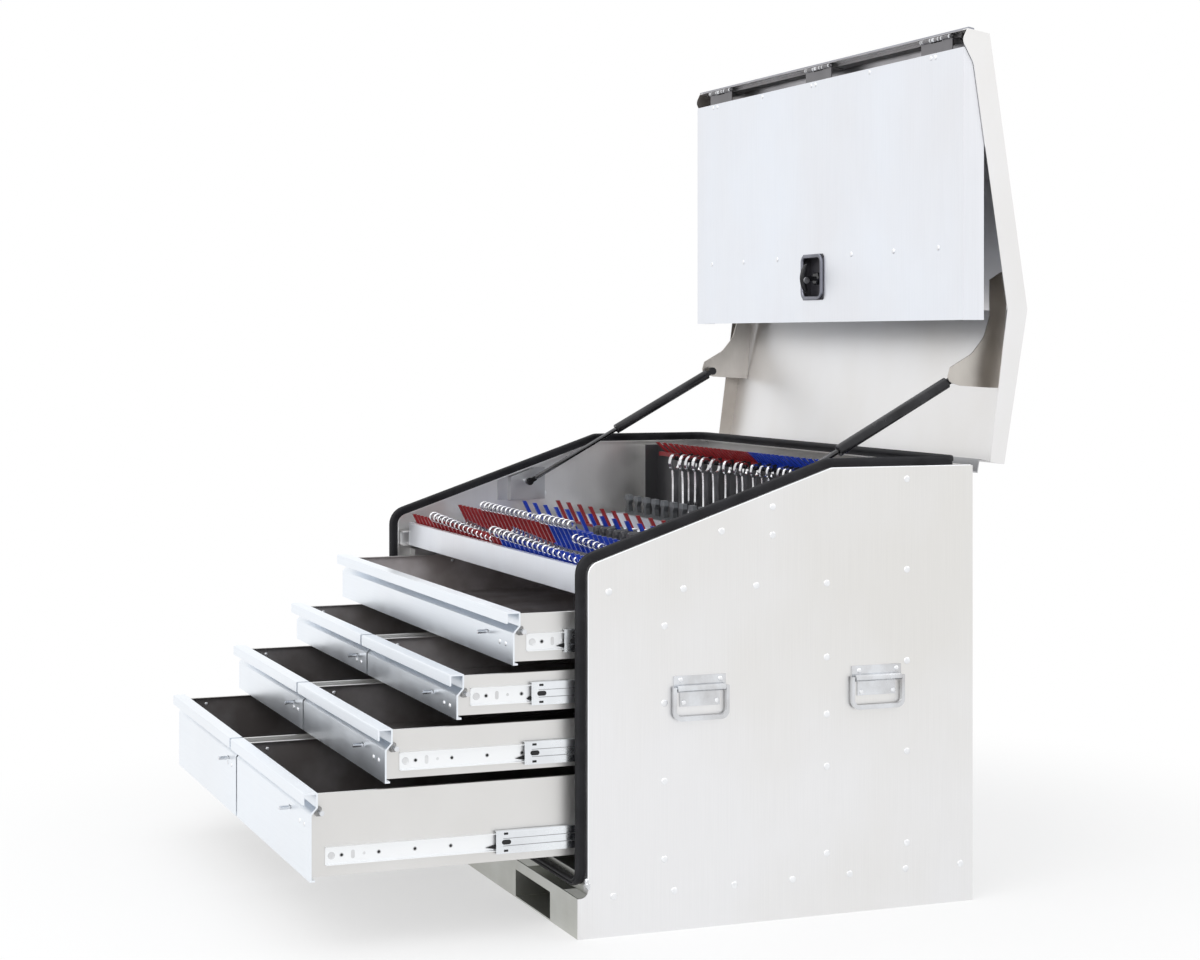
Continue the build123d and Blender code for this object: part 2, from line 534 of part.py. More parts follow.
racks = []
for tip_y, tip_z, pitch in FINGER_ROWS:
    root_y, root_z = tip_y + FINGER_LEAN, tip_z - FINGER_RISE
    row = across([(root_y + 22, tz + TRAY_T), (root_y + 22, tz + TRAY_T + 2), (root_y, tz + TRAY_T + 2),
                  (root_y, root_z), (root_y - FINGER_DEEP, root_z), (root_y - FINGER_DEEP, tz + TRAY_T)],
                 -ROW_HALF - 6, ROW_HALF + 6)
    count = int(2 * ROW_HALF / pitch) + 1
    for i in range(count):
        row += finger(-ROW_HALF + i * pitch, root_y, root_z, FINGER_LEAN, FINGER_RISE)
    racks.append(row)
save("tray_racks", racks)

# plier rack: a comb of posts with caps, open arches between them
rack_y = TRAY_REAR + (TRAY_LEDGE - PLIER_T) / 2 + 1
foot = block(-PLIER_HALF, PLIER_HALF, rack_y, rack_y + PLIER_T, TRAY_WALL_TOP, TRAY_WALL_TOP + PLIER_FOOT_H)
plier_rack = foot
posts_at = [-PLIER_HALF + PLIER_CAP_W / 2 + i * PLIER_PITCH
            for i in range(int((2 * PLIER_HALF - PLIER_CAP_W) / PLIER_PITCH) + 1)]
for x in posts_at:
    flare, pw, cw = PLIER_CAP_W / 2 - 1, PLIER_POST_W / 2, PLIER_CAP_W / 2
    z0, z1, z2 = TRAY_WALL_TOP + PLIER_FOOT_H - 1, PLIER_TOP - PLIER_CAP_H, PLIER_TOP
    plier_rack += along([(x - flare, z0), (x + flare, z0), (x + pw, z0 + 14), (x + pw, z1 - 8),
                         (x + cw, z1), (x + cw - 2, z2), (x - cw + 2, z2), (x - cw, z1),
                         (x - pw, z1 - 8), (x - pw, z0 + 14)],
                        rack_y, rack_y + PLIER_T)
save("plier_rack", plier_rack)

# wrench board with end flanges, hooks along its top, and the shelf that it stands on
board = block(-BOARD_HALF, BOARD_HALF, BOARD_Y, BOARD_Y + BOARD_T, POST_TOP, BOARD_TOP)
for s in (-1, 1):
    board += block(s * (BOARD_HALF - BOARD_T), s * BOARD_HALF, BOARD_Y - BOARD_FLANGE, BOARD_Y,
                   POST_TOP, BOARD_TOP)
hook_bar = block(-HOOK_HALF - 8, HOOK_HALF + 8, BOARD_Y - FINGER_DEEP, BOARD_Y, HOOK_ROOT_Z - 9, HOOK_ROOT_Z)
hooks_at = [0.0]
step = HOOK_PITCH_MID
while hooks_at[-1] + step < HOOK_HALF:
    hooks_at.append(hooks_at[-1] + step)
    step = HOOK_PITCH_MID + (HOOK_PITCH_END - HOOK_PITCH_MID) * hooks_at[-1] / HOOK_HALF
for x in [-v for v in hooks_at[:0:-1]] + hooks_at:
    hook_bar += finger(x, BOARD_Y, HOOK_ROOT_Z, HOOK_REACH, HOOK_RISE)
shelf = block(-SHELF_HALF, SHELF_HALF, BOARD_Y + BOARD_T, YB - SHEET, POST_TOP, POST_TOP + SHELF_T)
save("tool_board", board, hook_bar, shelf)

# Lid
slope = math.atan2(LID_Z - LID_FRONT_TOP, LID_BEND - LID_FRONT)
outer_line = [(LID_REAR, LID_Z), (LID_BEND, LID_Z), (LID_FRONT, LID_FRONT_TOP),
              (LID_FRONT, LID_FRONT_LOW)]
skin = across(strip([(LID_REAR, LID_LEAF_Z)] + outer_line, LID_T), -LID_HALF, LID_HALF)


def under(y, d):
    """Height of the line d below the slope, square to it."""
    return LID_FRONT_TOP + (y - LID_FRONT) * math.tan(slope) - d / math.cos(slope)


deep = 60.0
flange_outline = [(LID_REAR, LID_Z), (LID_BEND, LID_Z), (LID_FRONT, LID_FRONT_TOP),
                  (LID_FRONT, LID_FRONT_LOW), (LID_FRONT + 24, under(LID_FRONT + 24, deep)),
                  (LID_FRONT + 62, under(LID_FRONT + 62, LID_SIDE)),
                  (LID_BEND + LID_SIDE * math.tan(slope / 2), LID_Z - LID_SIDE),
                  (LID_REAR, LID_Z - LID_SIDE + 12)]
flanges = []
for s in (-1, 1):
    flanges.append(across(flange_outline, s * (LID_HALF - LID_T), s * LID_HALF,
                          rounds=[((LID_FRONT + 24, under(LID_FRONT + 24, deep)), 18),
                                  ((LID_FRONT + 62, under(LID_FRONT + 62, LID_SIDE)), 30)]))
shell = skin + flanges[0] + flanges[1]
save("lid_shell", opened(shell))

# lip strip along the lid's front edge
lip = across([(LID_FRONT - 3.0, LID_FRONT_LOW), (LID_FRONT, LID_FRONT_LOW),
              (LID_FRONT, LID_FRONT_LOW + 14), (LID_FRONT - 3.0, LID_FRONT_LOW + 14)],
             -LID_HALF, LID_HALF,
             rounds=[((LID_FRONT - 3.0, LID_FRONT_LOW), 1.5),
                     ((LID_FRONT - 3.0, LID_FRONT_LOW + 14), 1.5)])
save("lid_lip", opened(lip))

# lid leaf of the rear hinge, folded over the cabinet's back edge
leaf = across(strip([(LID_REAR - LID_T, LID_Z - LID_T), (LID_REAR - LID_T, LID_LEAF_Z),
                     (HINGE_Y, LID_LEAF_Z), (HINGE_Y, HINGE_Z)], -2.0), -hinge_half, hinge_half)
for i in range(1, segs, 2):
    leaf += pin_x(-hinge_half + i * seg + 1, -hinge_half + (i + 1) * seg - 1,
                  HINGE_Y, HINGE_Z, KNUCKLE_R)
for i in range(0, segs, 2):
    leaf -= block(-hinge_half + i * seg - 1, -hinge_half + (i + 1) * seg + 1,
                  HINGE_Y - 9, HINGE_Y + 9, HINGE_Z - 1, HINGE_Z + KNUCKLE_R + 0.8)
leaf -= pin_x(-hinge_half - 1, hinge_half + 1, HINGE_Y, HINGE_Z, 2.3, clear=True)
save("lid_hinge_leaf", opened(leaf))

# curved plates that carry the upper ends of the gas struts, in the open pose
BRACKET_X = 573.0
top_y, top_z = STRUT_TOP
lid_in = [opened_point(LID_REAR, LID_Z - LID_T), opened_point(LID_BEND, LID_Z - LID_T),
          opened_point(LID_FRONT, LID_FRONT_TOP - LID_T)]


def lid_inner_y(z):
    (y0, z0), (y1, z1) = lid_in[:2] if z < lid_in[1][1] else lid_in[1:]
    return y0 + (y1 - y0) * (z - z0) / (z1 - z0)


bracket_outline = [
    (top_y - 22, top_z - 4), (top_y - 14, top_z + 22), (408, 1031), (434, 1062), (447, 1101),
    (447, 1172), (472, 1187), (lid_inner_y(1187) - 0.3, 1187),
    (lid_inner_y(965) - 0.3, 965), (446, 966), (top_y + 8, top_z - 13)]
bracket = across(bracket_outline, BRACKET_X, BRACKET_X + 3,
                 rounds=[((top_y - 22, top_z - 4), 12), ((408, 1031), 40), ((434, 1062), 40),
                         ((447, 1101), 60), ((446, 966), 15)])
bracket += pin_x(BRACKET_X + 1, stud_x + 4, top_y, top_z, 4.0)
bracket += pin_x(stud_x, stud_x + 4.5, top_y, top_z, 6.5)
save("lid_strut_brackets", both(bracket))

# door hinges: leaves on the lid
upper, lower, pins = [], [], []
bar = across([(LID_FRONT + LID_T, 640), (LEAF_Y, 640), (LEAF_Y, 660), (LID_FRONT + LID_T, 660)],
             -BAR_HALF, BAR_HALF)
ay, az = DOOR_AXIS
for hx in DOOR_HINGES:
    h0 = hx - DOOR_HINGE_L / 2
    k = DOOR_HINGE_L / 3
    up = block(h0, h0 + DOOR_HINGE_L, LEAF_Y, LEAF_Y + LEAF_T, az, 664)
    dn = block(h0, h0 + DOOR_HINGE_L, LEAF_Y, LEAF_Y + LEAF_T, 568, az)
    for i in range(3):
        a, b = h0 + i * k, h0 + (i + 1) * k
        knuckle = pin_x(a + 0.3, b - 0.3, ay, az, DOOR_KNUCKLE_R)
        notch = DOOR_KNUCKLE_R + 1.9
        if i % 2:
            dn -= block(a - 0.3, b + 0.3, ay - 9, ay + 9, az - notch, az + 1)
            up += knuckle
        else:
            up -= block(a - 0.3, b + 0.3, ay - 9, ay + 9, az - 1, az + notch)
            dn += knuckle
    bore = pin_x(h0 - 1, h0 + DOOR_HINGE_L + 1, ay, az, DOOR_PIN_R + 0.15, clear=True)
    upper.append(up - bore)
    lower.append(dn - bore)
    pins.append(pin_x(h0 - 1.5, h0 + DOOR_HINGE_L + 1.5, ay, az, DOOR_PIN_R))
save("door_hinge_upper_leaves", [opened(u) for u in [bar] + upper])
save("door_hinge_pins", [opened(p) for p in pins])

# Door
face = block(-DOOR_HALF, DOOR_HALF, DOOR_FACE, DOOR_FACE + DOOR_T, DOOR_LOW, DOOR_TOP)
lz = LATCH_Z - DOOR_SHIFT[1]
lf = DOOR_FACE
hole = LATCH_OPEN + 2 * LATCH_WALL + 0.6
face -= block(LATCH_X - hole / 2, LATCH_X + hole / 2, lf - 1, lf + 9, lz - hole / 2, lz + hole / 2)
door = face
for s in (-1, 1):
    door += across([(DOOR_FACE, DOOR_LOW), (DOOR_FACE + DOOR_SIDE, DOOR_LOW),
                    (DOOR_FACE + DOOR_SIDE, DOOR_TOP), (DOOR_FACE, DOOR_TOP)],
                   s * (DOOR_HALF - DOOR_T), s * DOOR_HALF)
top_bar = block(-BAR_HALF, BAR_HALF, DOOR_FACE + DOOR_T, LEAF_Y, 572, 598)
mid_z = 1234.0 - DOOR_SHIFT[1]
stiff = across([(DOOR_FACE + DOOR_T, mid_z + 26), (DOOR_FACE + DOOR_T + 1.6, mid_z + 26),
                (DOOR_FACE + DOOR_T + 1.6, mid_z + 12), (LEAF_Y, mid_z + 8),
                (LEAF_Y, mid_z - 8), (DOOR_FACE + DOOR_T + 1.6, mid_z - 12),
                (DOOR_FACE + DOOR_T + 1.6, mid_z - 26), (DOOR_FACE + DOOR_T, mid_z - 26)],
               60, BAR_HALF)
save("door_shell", hung(door), hung(top_bar), [hung(stiff), mirror(hung(stiff), Plane.YZ)])
save("door_hinge_lower_leaves", [hung(l) for l in lower])

dish = block(LATCH_X - LATCH_SQ / 2, LATCH_X + LATCH_SQ / 2, lf - LATCH_RIM, lf,
             lz - LATCH_SQ / 2, lz + LATCH_SQ / 2)
dish = chamfer(dish.edges().filter_by(Axis.Y), 5.0)
half = LATCH_OPEN / 2 + LATCH_WALL
dish += block(LATCH_X - half, LATCH_X + half, lf - 0.5, lf + LATCH_DEEP + LATCH_WALL,
              lz - half, lz + half)
half = LATCH_OPEN / 2
recess = block(LATCH_X - half, LATCH_X + half, lf - 9, lf + LATCH_DEEP, lz - half, lz + half)
dish -= chamfer(recess.edges().filter_by(Axis.Y), 4.0)
sz = STEM_Z - DOOR_SHIFT[1]
dish -= pin_y(lf, lf + 40, LATCH_X, sz, 7.3, clear=True)
save("latch_dish", hung(dish))

# spindle that turns in the dish, and the T-handle that folds down on it
py = lf + LATCH_DEEP - 7.6          # fold pivot
spindle = pin_y(lf + LATCH_DEEP - 3.0, lf + LATCH_DEEP + LATCH_WALL + 2.4, LATCH_X, sz, 7.0)
for s in (-1, 1):
    a, b = s * 5.4, s * 8.0
    spindle += block(LATCH_X - 4, LATCH_X + 4, py - 4, lf + LATCH_DEEP - 1, sz + a, sz + b)
spindle += Pos(LATCH_X, py, sz) * many_sided(1.6, 16.0)
cam = block(LATCH_X - 30, LATCH_X + 30, lf + LATCH_DEEP + LATCH_WALL + 0.5,
            lf + LATCH_DEEP + LATCH_WALL + 2.5, sz - 9, sz + 9)
save("latch_spindle", hung(spindle + cam))

grip_y = py - STEM_L
stem = Pos(LATCH_X, (py + grip_y) / 2, sz) * Box(8, STEM_L, 9.6)
stem += Pos(LATCH_X, py, sz) * many_sided(4.0, 9.6)
stem -= Pos(LATCH_X, py, sz) * many_sided(1.8, 12.0, clear=True)
gz = GRIP_L / 2
crescent = make_face([
    ThreePointArc((grip_y + 8, sz - gz), (grip_y - GRIP_R, sz), (grip_y + 8, sz + gz)),
    Line((grip_y + 8, sz + gz), (grip_y + 14, sz + gz - 5)),
    ThreePointArc((grip_y + 14, sz + gz - 5), (grip_y + GRIP_R, sz), (grip_y + 14, sz - gz + 5)),
    Line((grip_y + 14, sz - gz + 5), (grip_y + 8, sz - gz))])
grip = extrude(Plane(origin=(LATCH_X - GRIP_R + 0.5, 0, 0), x_dir=(0, 1, 0), z_dir=(1, 0, 0)) * crescent,
               2 * GRIP_R - 1)
save("t_handle", hung(stem + grip))

# Gas struts
ly, lz0 = STRUT_LOW
dy, dz = top_y - ly, top_z - lz0
strut_len = math.hypot(dy, dz)
strut_deg = math.degrees(math.atan2(dz, dy))


def on_strut(s, at):
    """A piece drawn along +Y from 0, placed at a distance along the strut."""
    return Pos(STRUT_X, ly, lz0) * Rot(strut_deg, 0, 0) * Pos(0, at, 0) * s


def eye():
    e = pin_x(-EYE_T / 2, EYE_T / 2, 0, 0, EYE_R)
    e += block(-EYE_T / 2, EYE_T / 2, 0, 16, -5.5, 5.5)
    return e


rod = on_strut(eye(), 0) + on_strut(rod_y(14, 290, 0, 0, ROD_R), 0)
cyl = rod_y(0, CYL_L, 0, 0, CYL_R)
cyl -= pin_y(-5, CYL_L - 12, 0, 0, ROD_R + 0.4, clear=True)
cyl = on_strut(cyl, strut_len - CYL_L - 16)
end = Pos(STRUT_X, ly, lz0) * Rot(strut_deg, 0, 0) * Pos(0, strut_len, 0) * Rot(180, 0, 0) * eye()
save("strut_rods", both(rod))
save("strut_cylinders", both(cyl + end))
print("strut", round(strut_len, 2), round(strut_deg, 3), "door shift", DOOR_SHIFT)
print("hinge axis open", opened_point(*DOOR_AXIS))
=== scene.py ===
# %% [markdown]
# # An aluminium tool chest, finished in Blender
# The chest is a big folded-sheet cabinet: seven drawers in front, a tool tray above them, and a
# sloped lid on gas struts that carries a fold-down door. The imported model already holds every
# folded sheet, slide and hinge at its real size. This lesson gives each of those pieces the
# finish of its real metal, rubber or plastic, and adds what is too small for the model: rivets,
# slide stampings, the seal's ridges, weld beads and the tools that stand in the racks.

# %% Load the frame and keep the size of the model
import json
import math

import bmesh
import bpy
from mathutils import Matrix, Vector, noise


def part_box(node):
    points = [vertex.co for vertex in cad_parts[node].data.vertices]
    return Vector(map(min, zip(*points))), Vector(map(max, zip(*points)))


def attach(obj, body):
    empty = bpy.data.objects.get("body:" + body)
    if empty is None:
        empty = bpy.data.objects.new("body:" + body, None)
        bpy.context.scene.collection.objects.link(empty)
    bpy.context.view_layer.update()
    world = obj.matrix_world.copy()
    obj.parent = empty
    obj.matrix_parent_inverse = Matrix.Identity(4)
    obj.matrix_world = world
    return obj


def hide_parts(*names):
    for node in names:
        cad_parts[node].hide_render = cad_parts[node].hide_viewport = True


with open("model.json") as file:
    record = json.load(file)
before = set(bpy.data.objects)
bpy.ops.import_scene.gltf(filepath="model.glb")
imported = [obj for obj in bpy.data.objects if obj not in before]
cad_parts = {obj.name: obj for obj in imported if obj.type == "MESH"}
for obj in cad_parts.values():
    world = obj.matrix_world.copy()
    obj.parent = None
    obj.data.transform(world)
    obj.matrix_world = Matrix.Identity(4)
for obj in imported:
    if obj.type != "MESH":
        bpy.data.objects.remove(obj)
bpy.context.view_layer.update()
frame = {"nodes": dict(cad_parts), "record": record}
MM = 0.001

# %% [markdown]
# The photograph was taken from a little above the drawers, well round to the chest's right. A
# camera can be matched by hand or worked out from known corners. It was worked out here, as the
# upright edges stay upright: the camera is level, and the frame is only slid down on the film,
# which Blender calls a lens shift.

# %% Camera
CAMERA_AT = Vector((4.37323, -1.83547, 1.05948))
CAMERA_TURN = math.radians(68.676)
PHOTO_WIDE, PHOTO_HIGH = 1200, 960
FOCAL_PIXELS = 2283.876
HORIZON_ROW = 338.758
FILM_WIDE = 36.0

camera_data = bpy.data.cameras.new("photo_camera")
camera_data.sensor_width = FILM_WIDE
camera_data.lens = FOCAL_PIXELS / PHOTO_WIDE * FILM_WIDE
camera_data.shift_y = (HORIZON_ROW - PHOTO_HIGH / 2) / PHOTO_WIDE
camera = bpy.data.objects.new("photo_camera", camera_data)
camera.location = CAMERA_AT
camera.rotation_euler = (math.radians(90), 0, CAMERA_TURN)
bpy.context.scene.collection.objects.link(camera)
bpy.context.scene.camera = camera
print("lens in mm:", round(camera_data.lens, 1))

# %% [markdown]
# Product photographs on white use a lit backdrop and large soft lamps. A strong lamp could do
# it, but pale metal would burn out. So the backdrop is white only for the rays that look at it
# or mirror it, and the light that falls on the chest stays at a plain level.

# %% World
SKY_FILL = 0.62
scene = bpy.context.scene
scene.view_settings.view_transform = "Standard"
world = bpy.data.worlds.new("studio")
scene.world = world
world.use_nodes = True


def add_node(tree, kind, inputs, **settings):
    """A shader node whose inputs are set to numbers and colours, or linked to sockets."""
    added = tree.nodes.new("ShaderNode" + kind)
    for name, value in settings.items():
        setattr(added, name, value)
    for where, value in inputs.items():
        if isinstance(value, bpy.types.NodeSocket):
            tree.links.new(value, added.inputs[where])
        else:
            added.inputs[where].default_value = value
    return added


def sum_of(tree, how, first, second):
    """One step of arithmetic on sockets or numbers."""
    return add_node(tree, "Math", {0: first, 1: second}, operation=how).outputs[0]


def seen_or_mirrored(tree):
    """A socket that is 1 for rays that see, mirror or pass on the backdrop, else 0."""
    path = tree.nodes.new("ShaderNodeLightPath").outputs
    total = path["Is Camera Ray"]
    for ray in ("Is Glossy Ray", "Is Transmission Ray"):
        total = sum_of(tree, "MAXIMUM", total, path[ray])
    return total


sky = world.node_tree
sky.nodes.clear()
fill_sky = add_node(sky, "Background", {"Strength": SKY_FILL, "Color": (0.97, 0.985, 1.0, 1)})
white_sky = add_node(sky, "Background", {"Strength": 1.0, "Color": (1, 1, 1, 1)})
choose = add_node(sky, "MixShader", {0: seen_or_mirrored(sky), 1: fill_sky.outputs[0],
                                     2: white_sky.outputs[0]})
add_node(sky, "OutputWorld", {"Surface": choose.outputs[0]})
print("light from the sky:", SKY_FILL)

# %% [markdown]
# Three square lamps stand where a photographer would put soft boxes: in front to the right, at
# the right rear for the side panel, and overhead. Small lamps burn out into white spots on flat
# sheet, so these are metres across.

# %% Lamps
LAMP_AIM = Vector((0, 0, 0.6))


def soft_lamp(name, at, size, power):
    """A square area lamp that faces the middle of the chest."""
    data = bpy.data.lights.new(name, "AREA")
    data.size = size
    data.energy = power
    lamp = bpy.data.objects.new(name, data)
    lamp.location = at
    lamp.rotation_euler = (LAMP_AIM - Vector(at)).to_track_quat("-Z", "Y").to_euler()
    scene.collection.objects.link(lamp)


soft_lamp("key_lamp", (2.6, -3.4, 3.6), size=3.4, power=95)
soft_lamp("side_lamp", (2.4, 3.6, 4.0), size=2.4, power=40)
soft_lamp("top_lamp", (-0.6, -0.4, 4.6), size=4.4, power=56)

# %% [markdown]
# The floor is matt paper that takes the chest's shadow. Plain paper would turn grey farther off,
# so it also glows for the rays that look at it: partly near the chest, where the shadow has to
# show, and fully where floor and backdrop become one.

# %% Floor
FLOOR_REACH = 30.0
GLOW_NEAR, GLOW_FAR = 0.55, 1.0
FADE_START, FADE_END = 0.75, 1.75
floor_mesh = bpy.data.meshes.new("studio_floor")
corners = [(sx * FLOOR_REACH, sy * FLOOR_REACH, 0) for sx, sy in ((-1, -1), (1, -1), (1, 1), (-1, 1))]
floor_mesh.from_pydata(corners, [], [(0, 1, 2, 3)])
floor = bpy.data.objects.new("studio_floor", floor_mesh)
scene.collection.objects.link(floor)
paper = bpy.data.materials.new("studio_paper")
paper.use_nodes = True
tree = paper.node_tree
tree.nodes.clear()
matt = add_node(tree, "BsdfDiffuse", {"Color": (0.9, 0.9, 0.9, 1)})
glow = add_node(tree, "Emission", {"Color": (1, 1, 1, 1), "Strength": 1.0})
where = tree.nodes.new("ShaderNodeTexCoord").outputs["Object"]
far = add_node(tree, "VectorMath", {0: where}, operation="LENGTH").outputs["Value"]
fade = add_node(tree, "MapRange", {"From Min": FADE_START, "From Max": FADE_END, "To Min": GLOW_NEAR,
                                   "To Max": GLOW_FAR, "Value": far}, interpolation_type="SMOOTHSTEP")
glow_share = sum_of(tree, "MULTIPLY", seen_or_mirrored(tree), fade.outputs[0])
blend_floor = add_node(tree, "MixShader", {0: glow_share, 1: matt.outputs[0], 2: glow.outputs[0]})
add_node(tree, "OutputMaterial", {"Surface": blend_floor.outputs[0]})
floor_mesh.materials.append(paper)
print("floor half width in m:", FLOOR_REACH)

# %% [markdown]
# A finish in Blender is a tree of small nodes that feed one shader. A flat colour would need
# only the shader, but real surfaces vary, so a few helpers make the parts of every finish: clouds
# of noise, ramps of colours along them, mixes, ranges and relief.


# %% Helpers for finishes
def new_finish(name, colour, metal=0.0, rough=0.5):
    """A material with its main shader, and the two things to build on: its tree and shader."""
    finish = bpy.data.materials.new(name)
    finish.use_nodes = True
    made = finish.node_tree
    shader = made.nodes["Principled BSDF"]
    shader.inputs["Base Color"].default_value = (*colour, 1)
    shader.inputs["Metallic"].default_value = metal
    shader.inputs["Roughness"].default_value = rough
    return finish, made, shader


def feed(shader, name, socket):
    """Links a pattern to one input of the shader."""
    shader.id_data.links.new(socket, shader.inputs[name])


def cloud(made, size, stretch=(1, 1, 1), detail=3.0, at=(0, 0, 0)):
    """Noise with features of about this size in metres, stretched along the axes."""
    where = made.nodes.new("ShaderNodeTexCoord").outputs["Object"]
    scale = [1 / (size * s) for s in stretch]
    place = add_node(made, "Mapping", {"Scale": scale, "Location": at, "Vector": where})
    grain = add_node(made, "TexNoise", {"Scale": 1.0, "Detail": detail, "Vector": place.outputs[0]})
    return grain.outputs["Fac"]


def ramp(made, factor, *stops):
    """Colours along a factor: stops are (position, (r, g, b))."""
    node = made.nodes.new("ShaderNodeValToRGB")
    marks = node.color_ramp.elements
    while len(marks) < len(stops):
        marks.new(0.5)
    for mark, (position, colour) in zip(marks, stops):
        mark.position = position
        mark.color = (*colour, 1)
    made.links.new(factor, node.inputs[0])
    return node.outputs["Color"]


def mixed(made, factor, first, second, how="MIX"):
    """Two colours mixed by a factor, which is a number or a socket."""
    first, second = ((*c, 1) if isinstance(c, tuple) else c for c in (first, second))
    inputs = {0: factor, 6: first, 7: second}
    return add_node(made, "Mix", inputs, data_type="RGBA", blend_type=how).outputs[2]


def ranged(made, factor, low, high, start=0.3, end=0.7):
    """A factor mapped from start..end to low..high."""
    inputs = {"From Min": start, "From Max": end, "To Min": low, "To Max": high, "Value": factor}
    return add_node(made, "MapRange", inputs).outputs[0]


def relief(made, shader, height, depth, strength=0.5):
    """Small bumps from a height pattern."""
    bumps = add_node(made, "Bump", {"Strength": strength, "Distance": depth, "Height": height})
    feed(shader, "Normal", bumps.outputs[0])


print("helpers for finishes are ready")

# %% [markdown]
# Mill-finish aluminium is bright and even from far off, but it carries fine roll lines, faint
# cloudy stains and hand smudges. All three are patterns in the metal's colour and roughness, so
# they are made from noise that is stretched or not, with a little bump for the roll lines.

# %% Rolled metals
ACROSS, DEEP, UPRIGHT = 0, 1, 2
ROLL_LINE, ROLL_STRETCH, ROLL_DEPTH = 0.0016, 90, 0.00006
STAIN_START, STAIN_END = 0.32, 0.62


def roll_lines(made, axis):
    """The fine lines that the rolls leave, along an axis."""
    stretch = [1, 1, 1]
    stretch[axis] = ROLL_STRETCH
    return cloud(made, ROLL_LINE, stretch, 2.0)


def stained_colour(made, size, bright, stained):
    """A bright colour with clouds of a stained one."""
    stains = cloud(made, size, (1, 1, 1.3), 5.0)
    return ramp(made, stains, (STAIN_START, stained), (STAIN_END, bright))


def rolled_metal(name, bright, stained, grain_axis, rough=(0.30, 0.46), stain_size=0.35):
    """Sheet metal with roll lines along an axis, clouds of stain and smudges."""
    finish, made, shader = new_finish(name, bright, 1.0)
    lines = roll_lines(made, grain_axis)
    smudges = cloud(made, 0.06, (1, 1, 1), 4.0, at=(3, 1, 2))
    colour = stained_colour(made, stain_size, bright, stained)
    light_lines = ramp(made, lines, (0.3, (0.97, 0.97, 0.97)), (0.7, (1, 1, 1)))
    feed(shader, "Base Color", mixed(made, 1.0, colour, light_lines, "MULTIPLY"))
    feed(shader, "Roughness", ranged(made, smudges, rough[1], rough[0]))
    relief(made, shader, lines, ROLL_DEPTH, 0.2)
    return finish


FRONT_BRIGHT, FRONT_STAINED = (0.86, 0.895, 0.955), (0.83, 0.84, 0.875)
SHEET_ROUGH = (0.34, 0.44)
sheet_side = rolled_metal("sheet_side", (0.86, 0.86, 0.87), (0.80, 0.79, 0.77), UPRIGHT, SHEET_ROUGH, 0.5)
sheet_front = rolled_metal("sheet_front", FRONT_BRIGHT, FRONT_STAINED, UPRIGHT, SHEET_ROUGH, 0.5)
extrusion = rolled_metal("extrusion", (0.90, 0.945, 1.0), (0.88, 0.915, 0.96), ACROSS, (0.28, 0.34), 0.5)
hinge_metal = rolled_metal("hinge_metal", (0.62, 0.63, 0.65), (0.45, 0.45, 0.46), ACROSS)
zinc = rolled_metal("zinc", (0.86, 0.89, 0.92), (0.76, 0.78, 0.81), DEEP, (0.2, 0.34), 0.08)
plated = rolled_metal("plated", (0.76, 0.78, 0.81), (0.58, 0.58, 0.59), ACROSS, (0.16, 0.30), 0.05)
rod_steel = rolled_metal("rod_steel", (0.10, 0.10, 0.105), (0.05, 0.05, 0.05), DEEP, (0.12, 0.2), 0.05)
print("metals:", sheet_side.name, sheet_front.name, extrusion.name, zinc.name)

# %% [markdown]
# The seal is rubber, the latch and the rack's posts are moulded plastic, and the struts are
# painted. All three are nearly black, and a plain black would swallow their shape. A fine skin
# of bumps and a faint dust, paler and rougher, let the light find the edges.


# %% Rubber, plastic and paint
def matt_skin(name, colour, rough, speck=0.0016, lift=0.00008):
    """Moulded rubber, plastic or paint: a fine skin of bumps and a faint dust."""
    finish, made, shader = new_finish(name, colour, 0.0, rough)
    shader.inputs["Specular IOR Level"].default_value = 0.3
    skin = cloud(made, speck, detail=2.0)
    dust = cloud(made, 0.05, detail=4.0)
    paler = tuple(min(1.0, c * 1.9 + 0.012) for c in colour)
    feed(shader, "Base Color", ramp(made, dust, (0.35, colour), (0.75, paler)))
    feed(shader, "Roughness", ranged(made, dust, rough - 0.08, rough + 0.1))
    relief(made, shader, skin, lift, 0.4)
    return finish


rubber = matt_skin("rubber", (0.006, 0.006, 0.008), 0.6)
moulded = matt_skin("moulded", (0.022, 0.022, 0.026), 0.38)
strut_paint = matt_skin("strut_paint", (0.012, 0.012, 0.014), 0.22, 0.004, 0.00003)
print("dark finishes:", rubber.name, moulded.name, strut_paint.name)

# %% [markdown]
# Every node of the imported model names a material slot, so one table from slot to finish dresses
# them all. A few pieces of the same slot look different on the real chest: the sill is greyer, the
# door and the tray are cut from a bluer sheet, and the gap's strips are painted darker, a painted
# shade for the shade under the lid's lip.

# %% Dress the imported pieces
FINISHES = {
    "sheet_aluminium": sheet_side, "extruded_aluminium": extrusion, "hinge_aluminium": hinge_metal,
    "zinc_steel": zinc, "bright_metal": plated, "black_rubber": rubber, "black_plastic": moulded,
    "strut_black": strut_paint, "strut_rod": rod_steel, "rack_grey": moulded}
slots = {row["node"]: row["material_slot"] for row in frame["record"]["subparts"]}
for name, piece in frame["nodes"].items():
    piece.data.materials.clear()
    piece.data.materials.append(FINISHES[slots[name]])


def dress(node, finish):
    """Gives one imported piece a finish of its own."""
    frame["nodes"][node].data.materials[0] = finish


